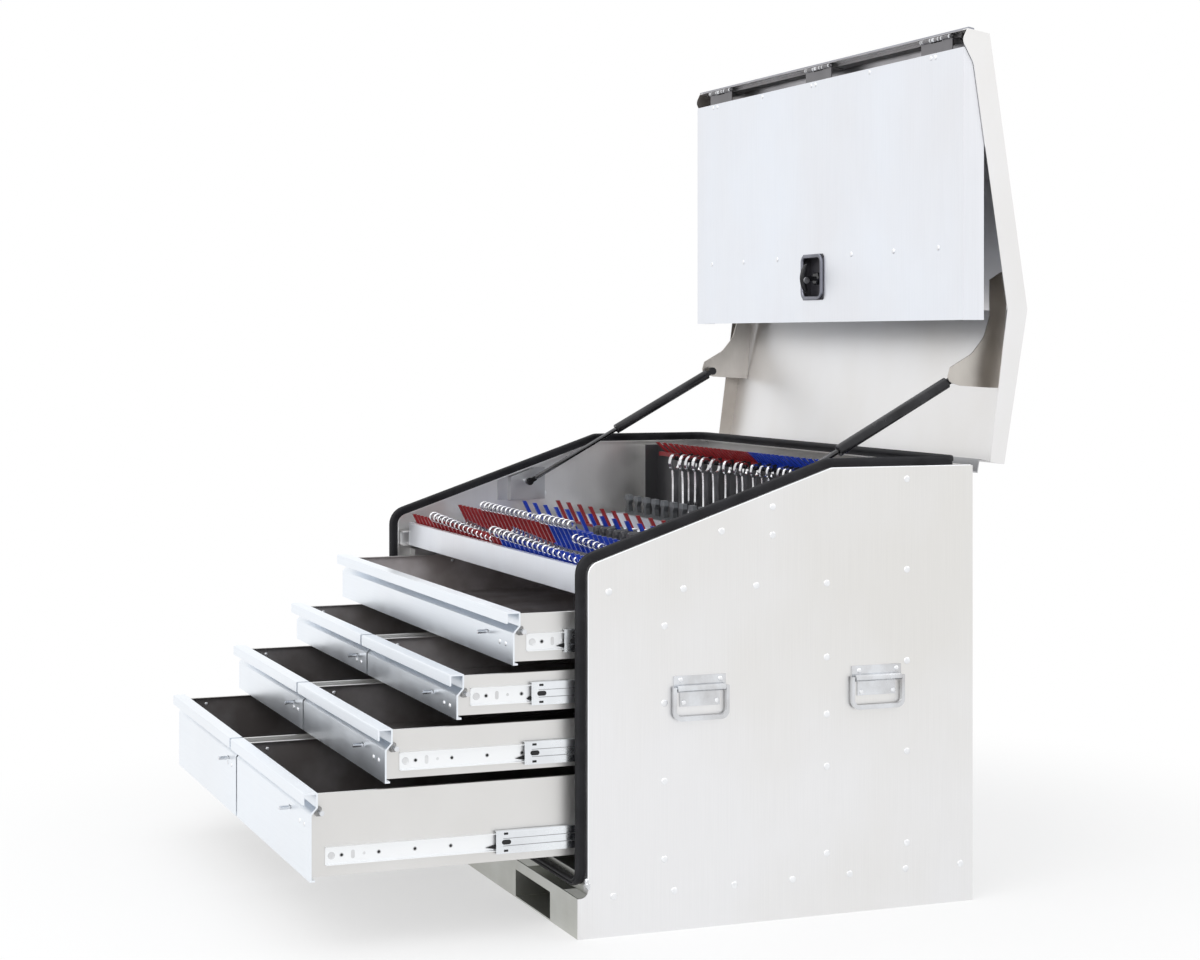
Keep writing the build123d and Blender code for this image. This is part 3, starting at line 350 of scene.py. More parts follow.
dress("door_shell", sheet_front)
dress("tool_tray", sheet_front)
for node, *recipe in (
        ("base_frame", "sill_metal", (0.66, 0.67, 0.64), (0.50, 0.50, 0.46), ACROSS, (0.36, 0.48), 0.3),
        # The lip's and the hinge band's dark greys are painted shade for the shade under the lid's lip.
        ("lid_lip", "lip_metal", (0.36, 0.37, 0.42), (0.28, 0.285, 0.32), ACROSS, (0.34, 0.46), 0.1),
        ("door_hinge_upper_leaves", "band_metal", (0.30, 0.29, 0.30), (0.21, 0.205, 0.21), ACROSS,
         (0.42, 0.55), 0.1),
        ("lid_strut_brackets", "bracket_metal", (0.62, 0.59, 0.55), (0.46, 0.43, 0.40), UPRIGHT,
         (0.32, 0.42), 0.12)):
    dress(node, rolled_metal(*recipe))
print("finished nodes:", len(slots))

# %% [markdown]
# The drawers show two faces of one sheet: pale outside, where they mirror the white room, and
# almost black inside, which is painted shade for the shade and dark reflections in the cabinet.
# The slide member that is screwed to the side belongs to the same node and is bright zinc. The
# zones could be pieces of their own, but the sheet is one, so one finish picks its colour by place.


# %% Finishes that change by place
def place_in_piece(made, what="Object"):
    """The x, y and z of the surface in the chest's own frame, or of the way it faces."""
    where = made.nodes.new("ShaderNodeTexCoord").outputs[what]
    return add_node(made, "SeparateXYZ", {0: where}).outputs


def all_of(made, *tests):
    """1 where every test is 1."""
    total = tests[0]
    for test in tests[1:]:
        total = sum_of(made, "MULTIPLY", total, test)
    return total


print("helpers for colours by place are ready")

# %% [markdown]
# The inside of a drawer is where four tests hold at once: between its side walls, before its
# back wall, above its floor and below its rim. Each test stops just short of the sheet's
# 1.5 mm. The painted shade inside is a little paler in the upper drawers, as more light falls into them.

# %% Drawer boxes
BOX_IN = 19
NEARLY_SHEET = 1.4 * MM
BEYOND_WALL = 0.2 * MM
BELOW_RIM = 0.4 * MM
STAIN_SIZE = 0.30
INSIDE_LIFT = {"top": 3.0, "second": 1.7}


def drawer_finish(name, lift):
    """Pale outside, dark painted shade inside, bright zinc on the slide member beyond the wall."""
    low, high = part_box(name)
    front_low, front_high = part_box(name.replace("_box", "_front"))
    finish, made, shader = new_finish(name, (0.8, 0.8, 0.8), 1.0, 0.4)
    x, y, z = place_in_piece(made)
    middle = (front_low.x + front_high.x) / 2
    wall = (front_high.x - front_low.x) / 2 - BOX_IN * MM
    off_middle = sum_of(made, "ABSOLUTE", sum_of(made, "SUBTRACT", x, middle), 0)
    inside = all_of(
        made,
        sum_of(made, "LESS_THAN", off_middle, wall - NEARLY_SHEET),
        sum_of(made, "LESS_THAN", y, high.y - NEARLY_SHEET),
        sum_of(made, "GREATER_THAN", z, low.z + NEARLY_SHEET),
        sum_of(made, "LESS_THAN", z, high.z - BELOW_RIM))
    beyond = sum_of(made, "GREATER_THAN", off_middle, wall + BEYOND_WALL)
    outside = stained_colour(made, STAIN_SIZE, (0.765, 0.76, 0.75), (0.71, 0.70, 0.685))
    # The inside's dark colour is painted shade with smudges in it, lifted paler in the upper drawers.
    inside_shade_and_smudges = ramp(made, cloud(made, 0.11, (1, 1, 1), 6.0, at=(1, 4, 2)),
                  (0.40, tuple(lift * c for c in (0.12, 0.108, 0.105))),
                  (0.78, tuple(lift * c for c in (0.24, 0.23, 0.235))))
    colour = mixed(made, beyond, outside, (0.93, 0.945, 0.96))
    feed(shader, "Base Color", mixed(made, inside, colour, inside_shade_and_smudges))
    feed(shader, "Metallic", sum_of(made, "SUBTRACT", 1.0, sum_of(made, "MULTIPLY", inside, 0.9)))
    feed(shader, "Roughness", ranged(made, inside, 0.42, 0.36, 0, 1))
    return finish


for name in frame["nodes"]:
    if name.endswith("_drawer_box"):
        dress(name, drawer_finish(name, INSIDE_LIFT.get(name.split("_")[0], 1.0)))
        print("finished", name)

# %% [markdown]
# Above the door's top edge a gap runs along under the lid's lip, and everything in it is painted
# grey: a painted shade for the shade in the gap. The lid's side flanges are painted browner on
# their inner faces, a painted shade for the dark inside that they mirror. The sheet is one piece,
# so these too are colours by place, and the flange is told from the rest by the way it faces.

# %% Lid and hinge leaves
DOOR_TOP_Z = 1609 * MM
GAP_HALF_WIDE = 605 * MM


def shaded_gap_finish(name, bright, stained, grey, is_lid):
    """Pale sheet with painted shade: a grey gap above the door and, on the lid, browner inner flanges."""
    finish, made, shader = new_finish(name, bright, 1.0, 0.39)
    place = place_in_piece(made)
    x = place["X"]
    pale = stained_colour(made, STAIN_SIZE, bright, stained)
    gap = sum_of(made, "GREATER_THAN", place["Z"], DOOR_TOP_Z)
    if is_lid:
        facing = place_in_piece(made, "Normal")
        inward = sum_of(made, "LESS_THAN", sum_of(made, "MULTIPLY", x, facing["X"]), -0.4)
        # The browner inner flanges are painted shade for the dark inside that they mirror.
        flange_shade = ramp(made, cloud(made, 0.12, detail=5.0),
                     (0.3, (0.38, 0.345, 0.31)), (0.7, (0.50, 0.465, 0.43)))
        pale = mixed(made, inward, pale, flange_shade)
        inner = sum_of(made, "LESS_THAN", sum_of(made, "ABSOLUTE", x, 0), GAP_HALF_WIDE)
        forward = sum_of(made, "LESS_THAN", facing["Y"], -0.5)
        gap = all_of(made, gap, inner, forward)
    # The gap's grey is painted shade for the shade under the lid's lip.
    darker = tuple(0.75 * c for c in grey)
    painted_gap_shade = ramp(made, cloud(made, 0.09, detail=4.0), (0.3, darker), (0.7, grey))
    feed(shader, "Base Color", mixed(made, gap, pale, painted_gap_shade))
    relief(made, shader, roll_lines(made, UPRIGHT), ROLL_DEPTH, 0.2)
    return finish


dress("lid_shell", shaded_gap_finish("lid_sheet", (0.87, 0.87, 0.88), (0.82, 0.81, 0.80),
                             grey=(0.52, 0.51, 0.53), is_lid=True))
dress("door_hinge_lower_leaves", shaded_gap_finish("hinge_leaf", FRONT_BRIGHT, FRONT_STAINED,
                                           grey=(0.22, 0.215, 0.225), is_lid=False))
print("lid and hinge leaves finished")

# %% [markdown]
# The racks are one moulding each, but half of a rack's fingers are dipped in red and half in
# blue, so that inch and metric tools don't mix. That again is a colour by place.

# %% Racks, wrench board and plier posts
RED = (0.30, 0.018, 0.022)
BLUE = (0.010, 0.045, 0.42)
RACK_CHANGE = 40 * MM
BOARD_CHANGE = 25 * MM
BOARD_FACE = 226.9 * MM
BOARD_HALF_WIDE = 541 * MM
FIRST_RACK_END = -300 * MM
FRONT_ROWS_END = -150 * MM
LAST_ROW_START = -60 * MM
FIRST_ROOT_Z, ROOT_STEP = 623 * MM, 18 * MM
POST_FOOT_Z, POST_TOP_Z = 655 * MM, 700 * MM


def dipped_plastic(name, red, elsewhere, plastic):
    """Red or blue plastic where plastic is 1, and another colour elsewhere."""
    finish, made, shader = new_finish(name, RED, 0.0, 0.34)
    x, y, z = place_in_piece(made)
    dye = mixed(made, red(made, x, y), BLUE, RED)
    wear = ramp(made, cloud(made, 0.02, detail=3.0), (0.3, (0.78, 0.78, 0.78)), (0.7, (1, 1, 1)))
    dye = mixed(made, 1.0, dye, wear, "MULTIPLY")
    mask = plastic(made, x, y, z)
    feed(shader, "Base Color", mixed(made, mask, elsewhere, dye))
    feed(shader, "Metallic", ranged(made, mask, 0.75, 0.0, 0, 1))
    return finish


def rack_red(made, x, y):
    """1 on the left half of the two front racks, and all along the last rack."""
    first = all_of(made, sum_of(made, "LESS_THAN", x, RACK_CHANGE),
                   sum_of(made, "LESS_THAN", y, FRONT_ROWS_END))
    return sum_of(made, "MAXIMUM", first, sum_of(made, "GREATER_THAN", y, LAST_ROW_START))


def rack_fingers(made, x, y, z):
    """1 above the roots of the fingers, which are a step lower on the first rack."""
    behind_first = sum_of(made, "GREATER_THAN", y, FIRST_RACK_END)
    root = sum_of(made, "ADD", sum_of(made, "MULTIPLY", behind_first, ROOT_STEP), FIRST_ROOT_Z)
    return sum_of(made, "GREATER_THAN", sum_of(made, "SUBTRACT", z, root), 0)


def board_red(made, x, y):
    """1 on the left part of the board."""
    return sum_of(made, "LESS_THAN", x, BOARD_CHANGE)


def board_fingers(made, x, y, z):
    """1 on what stands out of the board's face, short of its ends."""
    return all_of(made, sum_of(made, "LESS_THAN", y, BOARD_FACE),
                  sum_of(made, "LESS_THAN", sum_of(made, "ABSOLUTE", x, 0), BOARD_HALF_WIDE))


def plier_finish():
    """Grey posts that darken towards their feet, with paler caps."""
    finish, made, shader = new_finish("plier_posts", (0.1, 0.11, 0.115), 0.0, 0.42)
    height = ranged(made, place_in_piece(made)["Z"], 0.0, 1.0, POST_FOOT_Z, POST_TOP_Z)
    mottle = cloud(made, 0.015, detail=3.0)
    colour = ramp(made, height, (0.0, (0.035, 0.04, 0.042)), (0.72, (0.075, 0.08, 0.085)),
                  (0.78, (0.15, 0.16, 0.17)))
    shade = ramp(made, mottle, (0.3, (0.75, 0.75, 0.75)), (0.7, (1, 1, 1)))
    feed(shader, "Base Color", mixed(made, 1.0, colour, shade, "MULTIPLY"))
    return finish


dress("tray_racks", dipped_plastic("rack_plastic", rack_red, (0.30, 0.30, 0.31), rack_fingers))
dress("tool_board", dipped_plastic("board_plastic", board_red, (0.10, 0.10, 0.105), board_fingers))
dress("plier_rack", plier_finish())
print("racks finished")

# %% [markdown]
# Small turned and stamped parts repeat all over the chest. Blender has ready spheres and
# cylinders, but a rivet head is neither. Three helpers build them in millimetres: one turns a
# profile about an axis, one gives an outline a thickness, one joins a row of rings with faces.


# %% Helpers for small pieces
def turned(shape, at, axis, profile, steps=16):
    """A profile of (radius, height) turned about an axis that starts at a point."""
    stand = Vector(axis).to_track_quat("Z", "Y").to_matrix()
    rings = []
    for radius, height in profile:
        count = steps if radius > 0 else 1
        ring = []
        for k in range(count):
            angle = 2 * math.pi * k / count
            spot = Vector((radius * math.cos(angle), radius * math.sin(angle), height))
            ring.append(shape.verts.new(Vector(at) + stand @ spot))
        rings.append(ring)
    for low, high in zip(rings, rings[1:]):
        for k in range(steps):
            corners = []
            for ring, step in ((low, k), (low, k + 1), (high, k + 1), (high, k)):
                corner = ring[step % len(ring)]
                if corner not in corners:
                    corners.append(corner)
            if len(corners) > 2:
                shape.faces.new(corners)


def plate(shape, at, right, up, outline, thick):
    """An outline of (right, up) points with a thickness, its back at a point."""
    right, up = Vector(right).normalized(), Vector(up).normalized()
    out = right.cross(up) * thick
    back = [shape.verts.new(Vector(at) + right * a + up * b) for a, b in outline]
    face = [shape.verts.new(v.co + out) for v in back]
    shape.faces.new(back[::-1])
    shape.faces.new(face)
    for k in range(len(outline)):
        j = (k + 1) % len(outline)
        shape.faces.new((back[k], back[j], face[j], face[k]))


def rounded(wide, high, radius, steps=5):
    """The outline of a rectangle with round corners, about its own middle."""
    points = []
    for sx, sy, start in ((1, 1, 0), (-1, 1, 90), (-1, -1, 180), (1, -1, 270)):
        for k in range(steps + 1):
            angle = math.radians(start + 90 * k / steps)
            points.append((sx * (wide / 2 - radius) + radius * math.cos(angle),
                           sy * (high / 2 - radius) + radius * math.sin(angle)))
    return points


def skinned(shape, rings, closed=False):
    """Faces from each ring of points to the next; an open row of rings gets end faces."""
    for low, high in zip(rings, rings[1:] + rings[:1] if closed else rings[1:]):
        for i in range(len(low)):
            j = (i + 1) % len(low)
            shape.faces.new((low[i], low[j], high[j], high[i]))
    if not closed:
        shape.faces.new(rings[0][::-1])
        shape.faces.new(rings[-1])


print("helpers for small pieces are ready")

# %% [markdown]
# Every small piece goes the same way into the scene. It is drawn in millimetres where it sits,
# so it needs no placing. It may get a small bevel, is shaded smooth between its sharp edges,
# and rides on the body that carries it.


# %% Helpers that hand a piece over
def fitted(name, shape, finish, body, bevel=0.0, sharp=35):
    """Turns a shape drawn in millimetres into an object that rides on a body."""
    if bevel:
        edges = [e for e in shape.edges if e.is_manifold and e.calc_face_angle(0) > math.radians(40)]
        bmesh.ops.bevel(shape, geom=edges, offset=bevel, segments=2, affect="EDGES",
                        clamp_overlap=True)
    bmesh.ops.recalc_face_normals(shape, faces=shape.faces)
    bmesh.ops.scale(shape, vec=(MM, MM, MM), verts=shape.verts)
    mesh = bpy.data.meshes.new(name)
    shape.to_mesh(mesh)
    shape.free()
    mesh.materials.append(finish)
    mesh.polygons.foreach_set("use_smooth", [True] * len(mesh.polygons))
    mesh.set_sharp_from_angle(angle=math.radians(sharp))
    made = bpy.data.objects.new(name, mesh)
    scene.collection.objects.link(made)
    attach(made, body)
    print(name, len(mesh.polygons), "faces on", body)
    return made


def mm_box(node):
    """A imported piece's lowest and highest corners in millimetres."""
    low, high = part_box(node)
    return low / MM, high / MM


print("right side panel in mm:", mm_box("right_side_panel"))

# %% [markdown]
# Structural rivets hold the chest together. A head is a low dome, 12.7 mm across, with a soft
# edge. Every head is the same turned profile, set on the sheet where the photograph shows one,
# and the same pattern is mirrored to the other side.

# %% Rivets
RIVET_R = 6.3
RIVET_H = 1.9
rivet_metal = rolled_metal("rivet_metal", (0.92, 0.93, 0.95), (0.82, 0.83, 0.85), ACROSS,
                           (0.40, 0.52), 0.01)


def rivet(shape, at, axis, radius=RIVET_R, high=RIVET_H):
    """A domed head: a short straight edge, then a round top."""
    dome = [(radius * math.cos(math.radians(a)), high * (0.25 + 0.75 * math.sin(math.radians(a))))
            for a in (0, 22, 45, 66, 82)]
    turned(shape, at, axis, [(radius, -0.3)] + dome + [(0, high)])


print("rivet head in mm:", 2 * RIVET_R, "across and", RIVET_H, "high")

# %% [markdown]
# The rows on a side panel follow what is behind it: the posts that carry the slides, the seal's
# return and the floor. The handle plates have small heads, the back gets three plain rows, and
# the door has a row at its stiffener and pairs along its top, where the hinge leaves are.

# %% Rivets of cabinet and door
SHEET, HANDLE_PLATE = 2.3, 3
HANDLE_HEAD, INNER_HEAD = (4.6, 2.0), (5.0, 2.0)
BACK_COLUMNS, BACK_ROWS = range(-540, 541, 180), (90, 330, 585)
DOOR_HEAD_H = 1.8
DOOR_RIVETS = ([(x, 1234, 5.2) for x in (-536, -361, -184, 167, 347, 525)]
               + [(x, 1601, 4.5) for x in (-529, -506, -17, 2, 497, 514, -261, 246)])
SIDE_RIVETS = (
    [(y, 611) for y in (-350, -206, -62)] + [(-243, z) for z in (546, 408, 268, 129)]
    + [(81, z) for z in (610, 474, 369, 273, 113)] + [(248, z) for z in (798, 629, 459, 290, 119)]
    + [(y, 71) for y in (-341, -224, -106, 11, 128, 245, 362)]
    + [(-29, 753), (-29, 702), (-131, 712)])
HANDLE_RIVETS = [(-213, 448), (-135, 447), (-207, 407), (-142, 408),
                 (146, 446), (224, 447), (151, 406), (217, 407)]
side_x = mm_box("right_side_panel")[1].x
rivets = bmesh.new()
for s in (-1, 1):
    for y, z in SIDE_RIVETS:
        rivet(rivets, (s * side_x, y, z), (s, 0, 0))
    for y, z in HANDLE_RIVETS:
        rivet(rivets, (s * (side_x + HANDLE_PLATE), y, z), (s, 0, 0), *HANDLE_HEAD)
    for y, z in SIDE_RIVETS[:3] + SIDE_RIVETS[-3:]:
        rivet(rivets, (s * (side_x - SHEET), y, z), (-s, 0, 0), *INNER_HEAD)
back_y = mm_box("back_panel")[1].y
for x in BACK_COLUMNS:
    for z in BACK_ROWS:
        rivet(rivets, (x, back_y, z), (0, 1, 0))
fitted("cabinet_rivets", rivets, rivet_metal, "cabinet")

door_y = mm_box("door_shell")[0].y
rivets = bmesh.new()
for x, z, radius in DOOR_RIVETS:
    rivet(rivets, (x, door_y, z), (0, -1, 0), radius, DOOR_HEAD_H)
fitted("door_rivets", rivets, rivet_metal, "door")

# %% [markdown]
# Each drawer front is one long extrusion. Two rivets hold the latch behind it, small screw heads
# show on the box's inner walls, and the spring bolt slides in a block bolted to the side. They
# could be placed one by one, but all drawers are alike, so one loop measures each front.

# %% Drawer rivets, screws and bolt guides
FACE_BEHIND_LIP = 12.5
BOX_WALL = 1.5
RIVETS_FROM_END, RIVET_DROP, DRAWER_HEAD = (39.5, 72), 60, (4.4, 1.6)
SCREWS_BEHIND_FACE, SCREW_DROP, SCREW_HEAD = (55, 250), 20, (3.6, 1.6)
GUIDE_BEHIND_FACE, GUIDE_OUT, BOLT_DROP = 18.5, 6.0, 35
GUIDE_NUT = [(5.4, 0), (5.4, 2.4), (4, 3.2), (0, 3.2)]
ALONG, UP = (0, 1, 0), (0, 0, 1)
DRAWERS = [n[:-6] for n in frame["nodes"] if n.endswith("_drawer_front")]
bolt_steel = rolled_metal("bolt_steel", (0.36, 0.36, 0.36), (0.16, 0.16, 0.16), ACROSS,
                          (0.25, 0.4), 0.008)
for drawer in DRAWERS:
    low, high = mm_box(drawer + "_front")
    face_y = low.y + FACE_BEHIND_LIP
    rivets = bmesh.new()
    for off in RIVETS_FROM_END:
        rivet(rivets, (high.x - off, face_y, high.z - RIVET_DROP), (0, -1, 0), *DRAWER_HEAD)
    for end, s in ((low.x, 1), (high.x, -1)):
        inner_wall = end + s * (BOX_IN + BOX_WALL)
        for behind in SCREWS_BEHIND_FACE:
            rivet(rivets, (inner_wall, face_y + behind, high.z - SCREW_DROP), (s, 0, 0), *SCREW_HEAD)
    fitted(drawer + "_rivets", rivets, rivet_metal, drawer)
    guide = bmesh.new()
    wall = high.x - BOX_IN
    guide_y, bolt_z = face_y + GUIDE_BEHIND_FACE, high.z - BOLT_DROP
    plate(guide, (wall, guide_y, bolt_z), ALONG, UP, rounded(11, 16, 2.5), GUIDE_OUT)
    turned(guide, (wall + GUIDE_OUT - 0.5, guide_y, bolt_z), (1, 0, 0), GUIDE_NUT)
    fitted(drawer + "_bolt_guide", guide, bolt_steel, drawer, bevel=0.5)

# %% [markdown]
# A ball-bearing slide is stamped strip. The long inner member shows a mounting hole with a
# ring, a slot and a dimple. The wider middle member has two raised ball tracks with a groove
# along each, a dark slot between them, two small square holes and a black retainer at its front
# end, from which the release lever's tip points forward. The imported strip can't be cut, so these
# are thin plates and rings that lie on it. The holes, the dark slot and the grooves are painted
# shade: dark plates for the shade in them, while the retainer and the lever's tip are black parts.

# %% Slide stampings
SLIDE_BEHIND_FACE = 31
RING_AT, HOLES_AT, SLOT_AT, DIMPLE_AT = 11, (29, 95, 160, 225, 355), 49, 69
INNER_WEB, MIDDLE_WEB, RETAINER_IN, LEVER_IN = 17.5, 8.5, 15.4, 16.9
TRACK_HIGH, TRACK_AT, TRACK_END = 12.5, 13.4, 3
GROOVE_AT, SQUARE_AT = 6.6, 15
LEVER_REACH = {"second": 6, "top": 12, "third": 14, "bottom": 16}
# The holes and the slots are dark plates of painted shade; the retainer and the lever's tip are black
# parts.
hole_shade_and_black = matt_skin("hole_shade_and_black", (0.012, 0.012, 0.013), 0.6)
worn_stamp = rolled_metal("worn_stamp", (0.78, 0.79, 0.80), (0.66, 0.66, 0.67), DEEP, (0.3, 0.45), 0.03)
# The grooves' darker grey is painted shade in the recessed grooves.
groove_shade_grey = rolled_metal("groove_shade_grey", (0.42, 0.43, 0.45), (0.34, 0.34, 0.36), DEEP, (0.4, 0.5), 0.05)
for drawer in DRAWERS:
    low, high = mm_box(drawer + "_front")
    mid_low, mid_high = mm_box(drawer + "_slides")
    centre_z = (mid_low.z + mid_high.z) / 2
    slide_y = low.y + FACE_BEHIND_LIP + SLIDE_BEHIND_FACE
    front_y = mid_low.y
    reach = LEVER_REACH[drawer.split("_")[0]]
    lever = [(-reach, -1.2), (-3, -3.4), (8, -4), (8, 3.4), (0, 3.2)]
    for side, end, s in (("left", low.x, -1), ("right", high.x, 1)):
        web = end - s * INNER_WEB
        stamps, holes = bmesh.new(), bmesh.new()
        for y in HOLES_AT:
            at = (web, slide_y + y, centre_z)
            turned(stamps, at, (s, 0, 0), [(4.4, -0.2), (4.0, 0.35), (2.6, 0.1), (0, 0.1)])
            turned(holes, at, (s, 0, 0), [(2.7, 0.12), (1.9, 0.4), (0, 0.4)])
        turned(stamps, (web, slide_y + RING_AT, centre_z), (s, 0, 0),
               [(6.6, -0.1), (6.2, 0.4), (5.2, 0.4), (4.8, 0.05), (0, 0.05)], 24)
        plate(stamps, (web, slide_y + SLOT_AT, centre_z), ALONG, UP, rounded(6.5, 15, 3.2), s * 0.3)
        turned(stamps, (web, slide_y + DIMPLE_AT, centre_z), (s, 0, 0),
               [(2.8, -0.1), (2.4, 0.3), (0, 0.3)])
        name, slides = f"{drawer}_{side}", drawer + "_slides"
        fitted(name + "_slide_stamps", stamps, worn_stamp, drawer)
        fitted(name + "_slide_holes", holes, hole_shade_and_black, drawer)
        web = end - s * MIDDLE_WEB
        length = mid_high.y - mid_low.y - 2 * TRACK_END
        middle = front_y + TRACK_END + length / 2
        tracks, grooves, marks = bmesh.new(), bmesh.new(), bmesh.new()
        for up in (-1, 1):
            plate(tracks, (web, middle, centre_z + up * TRACK_AT), ALONG, UP,
                  rounded(length, TRACK_HIGH, 1.5, 3), s * 0.45)
            plate(grooves, (web, middle + 4, centre_z + up * GROOVE_AT), ALONG, UP,
                  rounded(length - 12, 1.5, 0.6, 2), s * 0.2)
            plate(marks, (web, front_y + 18, centre_z + up * SQUARE_AT), ALONG, UP,
                  rounded(8, 4, 0.6), s * 0.55)
        fitted(name + "_ball_tracks", tracks, zinc, slides)
        fitted(name + "_track_grooves", grooves, groove_shade_grey, slides)
        plate(marks, (web, front_y + 19, centre_z), ALONG, UP, rounded(17, 8.5, 4.2), s * 0.35)
        plate(marks, (end - s * RETAINER_IN, front_y + 3.4, centre_z), ALONG, UP,
              rounded(4.5, 27, 1), s * 6.0)
        plate(marks, (end - s * LEVER_IN, front_y - 1, centre_z - 8), ALONG, UP, lever, s * 1.6)
        fitted(name + "_slide_marks", marks, hole_shade_and_black, slides)

# %% [markdown]
# The loose tools are combination wrenches: a ring at one end, an open jaw at the other, and a
# flat shaft between. Each could be one sculpted mesh, but at this size three closed shapes that
# overlap already read as one tool: a turned ring, a tapered shaft and a forked jaw.

# %% Helper for wrenches
JAW_START, JAW_SWEEP, JAW_STEPS = 50, 284, 12


def wrench(shape, ring_at, along, flat, length, ring_r, jaw_r, thick, hole_share=0.6):
    """A combination wrench: its ring's centre, its direction and the normal of its flat side."""
    ring_at, along, flat = Vector(ring_at), Vector(along).normalized(), Vector(flat).normalized()
    side = flat.cross(along)
    hole = ring_r * hole_share
    half = thick / 2
    turned(shape, ring_at, flat,
           [(hole, -half), (ring_r - 1, -half), (ring_r, -half + 1), (ring_r, half - 1),
            (ring_r - 1, half), (hole, half), (hole, -half)], 18)
    neck, waist = ring_r * 0.50, ring_r * 0.42
    shaft = thick * 0.62
    end = length - jaw_r * 0.8
    plate(shape, ring_at - flat * shaft / 2, along, side,
          [(ring_r * 0.85, -neck), (ring_r * 1.9, -waist), (end - jaw_r, -waist),
           (end, -jaw_r * 0.8), (end, jaw_r * 0.8), (end - jaw_r, waist),
           (ring_r * 1.9, waist), (ring_r * 0.85, neck)], shaft)
    jaw = []
    for k in range(JAW_STEPS + 1):
        angle = math.radians(JAW_START + JAW_SWEEP * k / JAW_STEPS)
        jaw.append((length + jaw_r * math.cos(angle), jaw_r * math.sin(angle)))
    mouth = jaw_r * 0.52
    jaw += [(length + jaw_r * 0.05, -mouth), (length - jaw_r * 0.30, 0), (length + jaw_r * 0.05, mouth)]
    plate(shape, ring_at - flat * half, along, side, jaw, thick)


chrome = rolled_metal("tool_chrome", (0.86, 0.86, 0.88), (0.55, 0.55, 0.57), DEEP, (0.10, 0.22), 0.02)
print("tools are made of", chrome.name)

# %% [markdown]
# In the tray the wrenches stand on edge in the notches of the first two racks, largest at the
# left of each colour, so from the front only rows of heads show. A web closes the foot of each
# notch; the webs' red and blue are darker than the fingers', a painted shade for the shade at
# the foot. Each wrench stands on the tray's floor and leans forward over the rack's rail.

# %% Wrenches in the tray
ROW_START, ROW_PITCH, NOTCHES = -540, 27, 40
FINGER_SLOPE = 25 / 43
FIRST_ROW = {"y": -363, "rail": -338, "root": 624, "web": 24}
SECOND_ROW = {"y": -257, "rail": -232, "root": 642, "web": 8}
HEAD_Z, TRAY_FLOOR = 672, 601.5
JAWS_Y, JAWS_PASS = -326, (-310, 624)
FIRST_JAW, FIRST_BEHIND, LAST_TALL = 9, 6, 26
INCH_SET = range(5, 20)
METRIC_SET = range(20, 39)


def set_share(k, numbers):
    """0 for the largest wrench of a set, 1 for the smallest."""
    return (k - numbers[0]) / (len(numbers) - 1)


def standing_wrench(shape, x, top, through, size, ring_up):
    """A wrench with its upper head at (y, z) top, passing a point, down to the tray's floor."""
    down = Vector((0, through[0] - top[0], through[1] - top[1])).normalized()
    head = Vector((x, top[0], top[1]))
    length = (top[1] - TRAY_FLOOR) / -down.z - size
    if ring_up:
        wrench(shape, head, down, (1, 0, 0), length, size, size * 0.85, size * 0.5 + 2)
    else:
        wrench(shape, head + down * length, -down, (1, 0, 0), length, size * 0.8, size, size * 0.5 + 2)


def web(shape, x, row):
    """The closed foot of one notch, between two fingers."""
    up = Vector((0, -FINGER_SLOPE, 1)).normalized()
    half, high = ROW_PITCH / 2 - 2, row["web"]
    plate(shape, (x, row["rail"] - 1, row["root"] - 1), (1, 0, 0), up,
          [(-half, 0), (half, 0), (half, high), (3, high - 3), (-3, high - 3), (-half, high)], 3)


tray_wrenches = bmesh.new()
webs = {True: bmesh.new(), False: bmesh.new()}
for k in range(NOTCHES):
    x = ROW_START + (k + 0.5) * ROW_PITCH
    red = x < RACK_CHANGE / MM
    web(webs[red], x, FIRST_ROW)
    web(webs[red], x, SECOND_ROW)
    numbers = INCH_SET if k in INCH_SET else METRIC_SET if k in METRIC_SET else None
    if not numbers:
        continue
    share = set_share(k, numbers)
    size = 10.5 - 4 * share
    standing_wrench(tray_wrenches, x, (FIRST_ROW["y"] + 6 * share, HEAD_Z - 17 * share),
                    (FIRST_ROW["rail"] + 6.5, FIRST_ROW["root"]), size, True)
    if k >= FIRST_JAW:
        standing_wrench(tray_wrenches, x, (JAWS_Y, HEAD_Z - 24 * share), JAWS_PASS, size * 0.9, False)
    if k >= FIRST_BEHIND:
        ring_z = 694 if k <= LAST_TALL else 678 - 22 * share
        standing_wrench(tray_wrenches, x, (SECOND_ROW["y"], ring_z),
                        (SECOND_ROW["rail"] + 6, SECOND_ROW["root"]), size, True)
fitted("tray_wrenches", tray_wrenches, chrome, "tray", sharp=40)
# The webs' red and blue are darker than the fingers' dye: painted shade at the foot of each notch.
for dye, red, colour in (("red", True, (0.17, 0.012, 0.014)), ("blue", False, (0.007, 0.030, 0.30))):
    shaded_web_plastic = matt_skin("web_" + dye, colour, 0.4, 0.004, 0.00003)
    fitted("rack_webs_" + dye, webs[red], shaded_web_plastic, "tray")

# %% [markdown]
# On the board behind the tray the larger wrenches hang by their rings from black pegs, turned a
# little out of the board. No two hang alike, so each turn and lean differs by a sine of its
# number, which looks casual and comes out the same on every run.

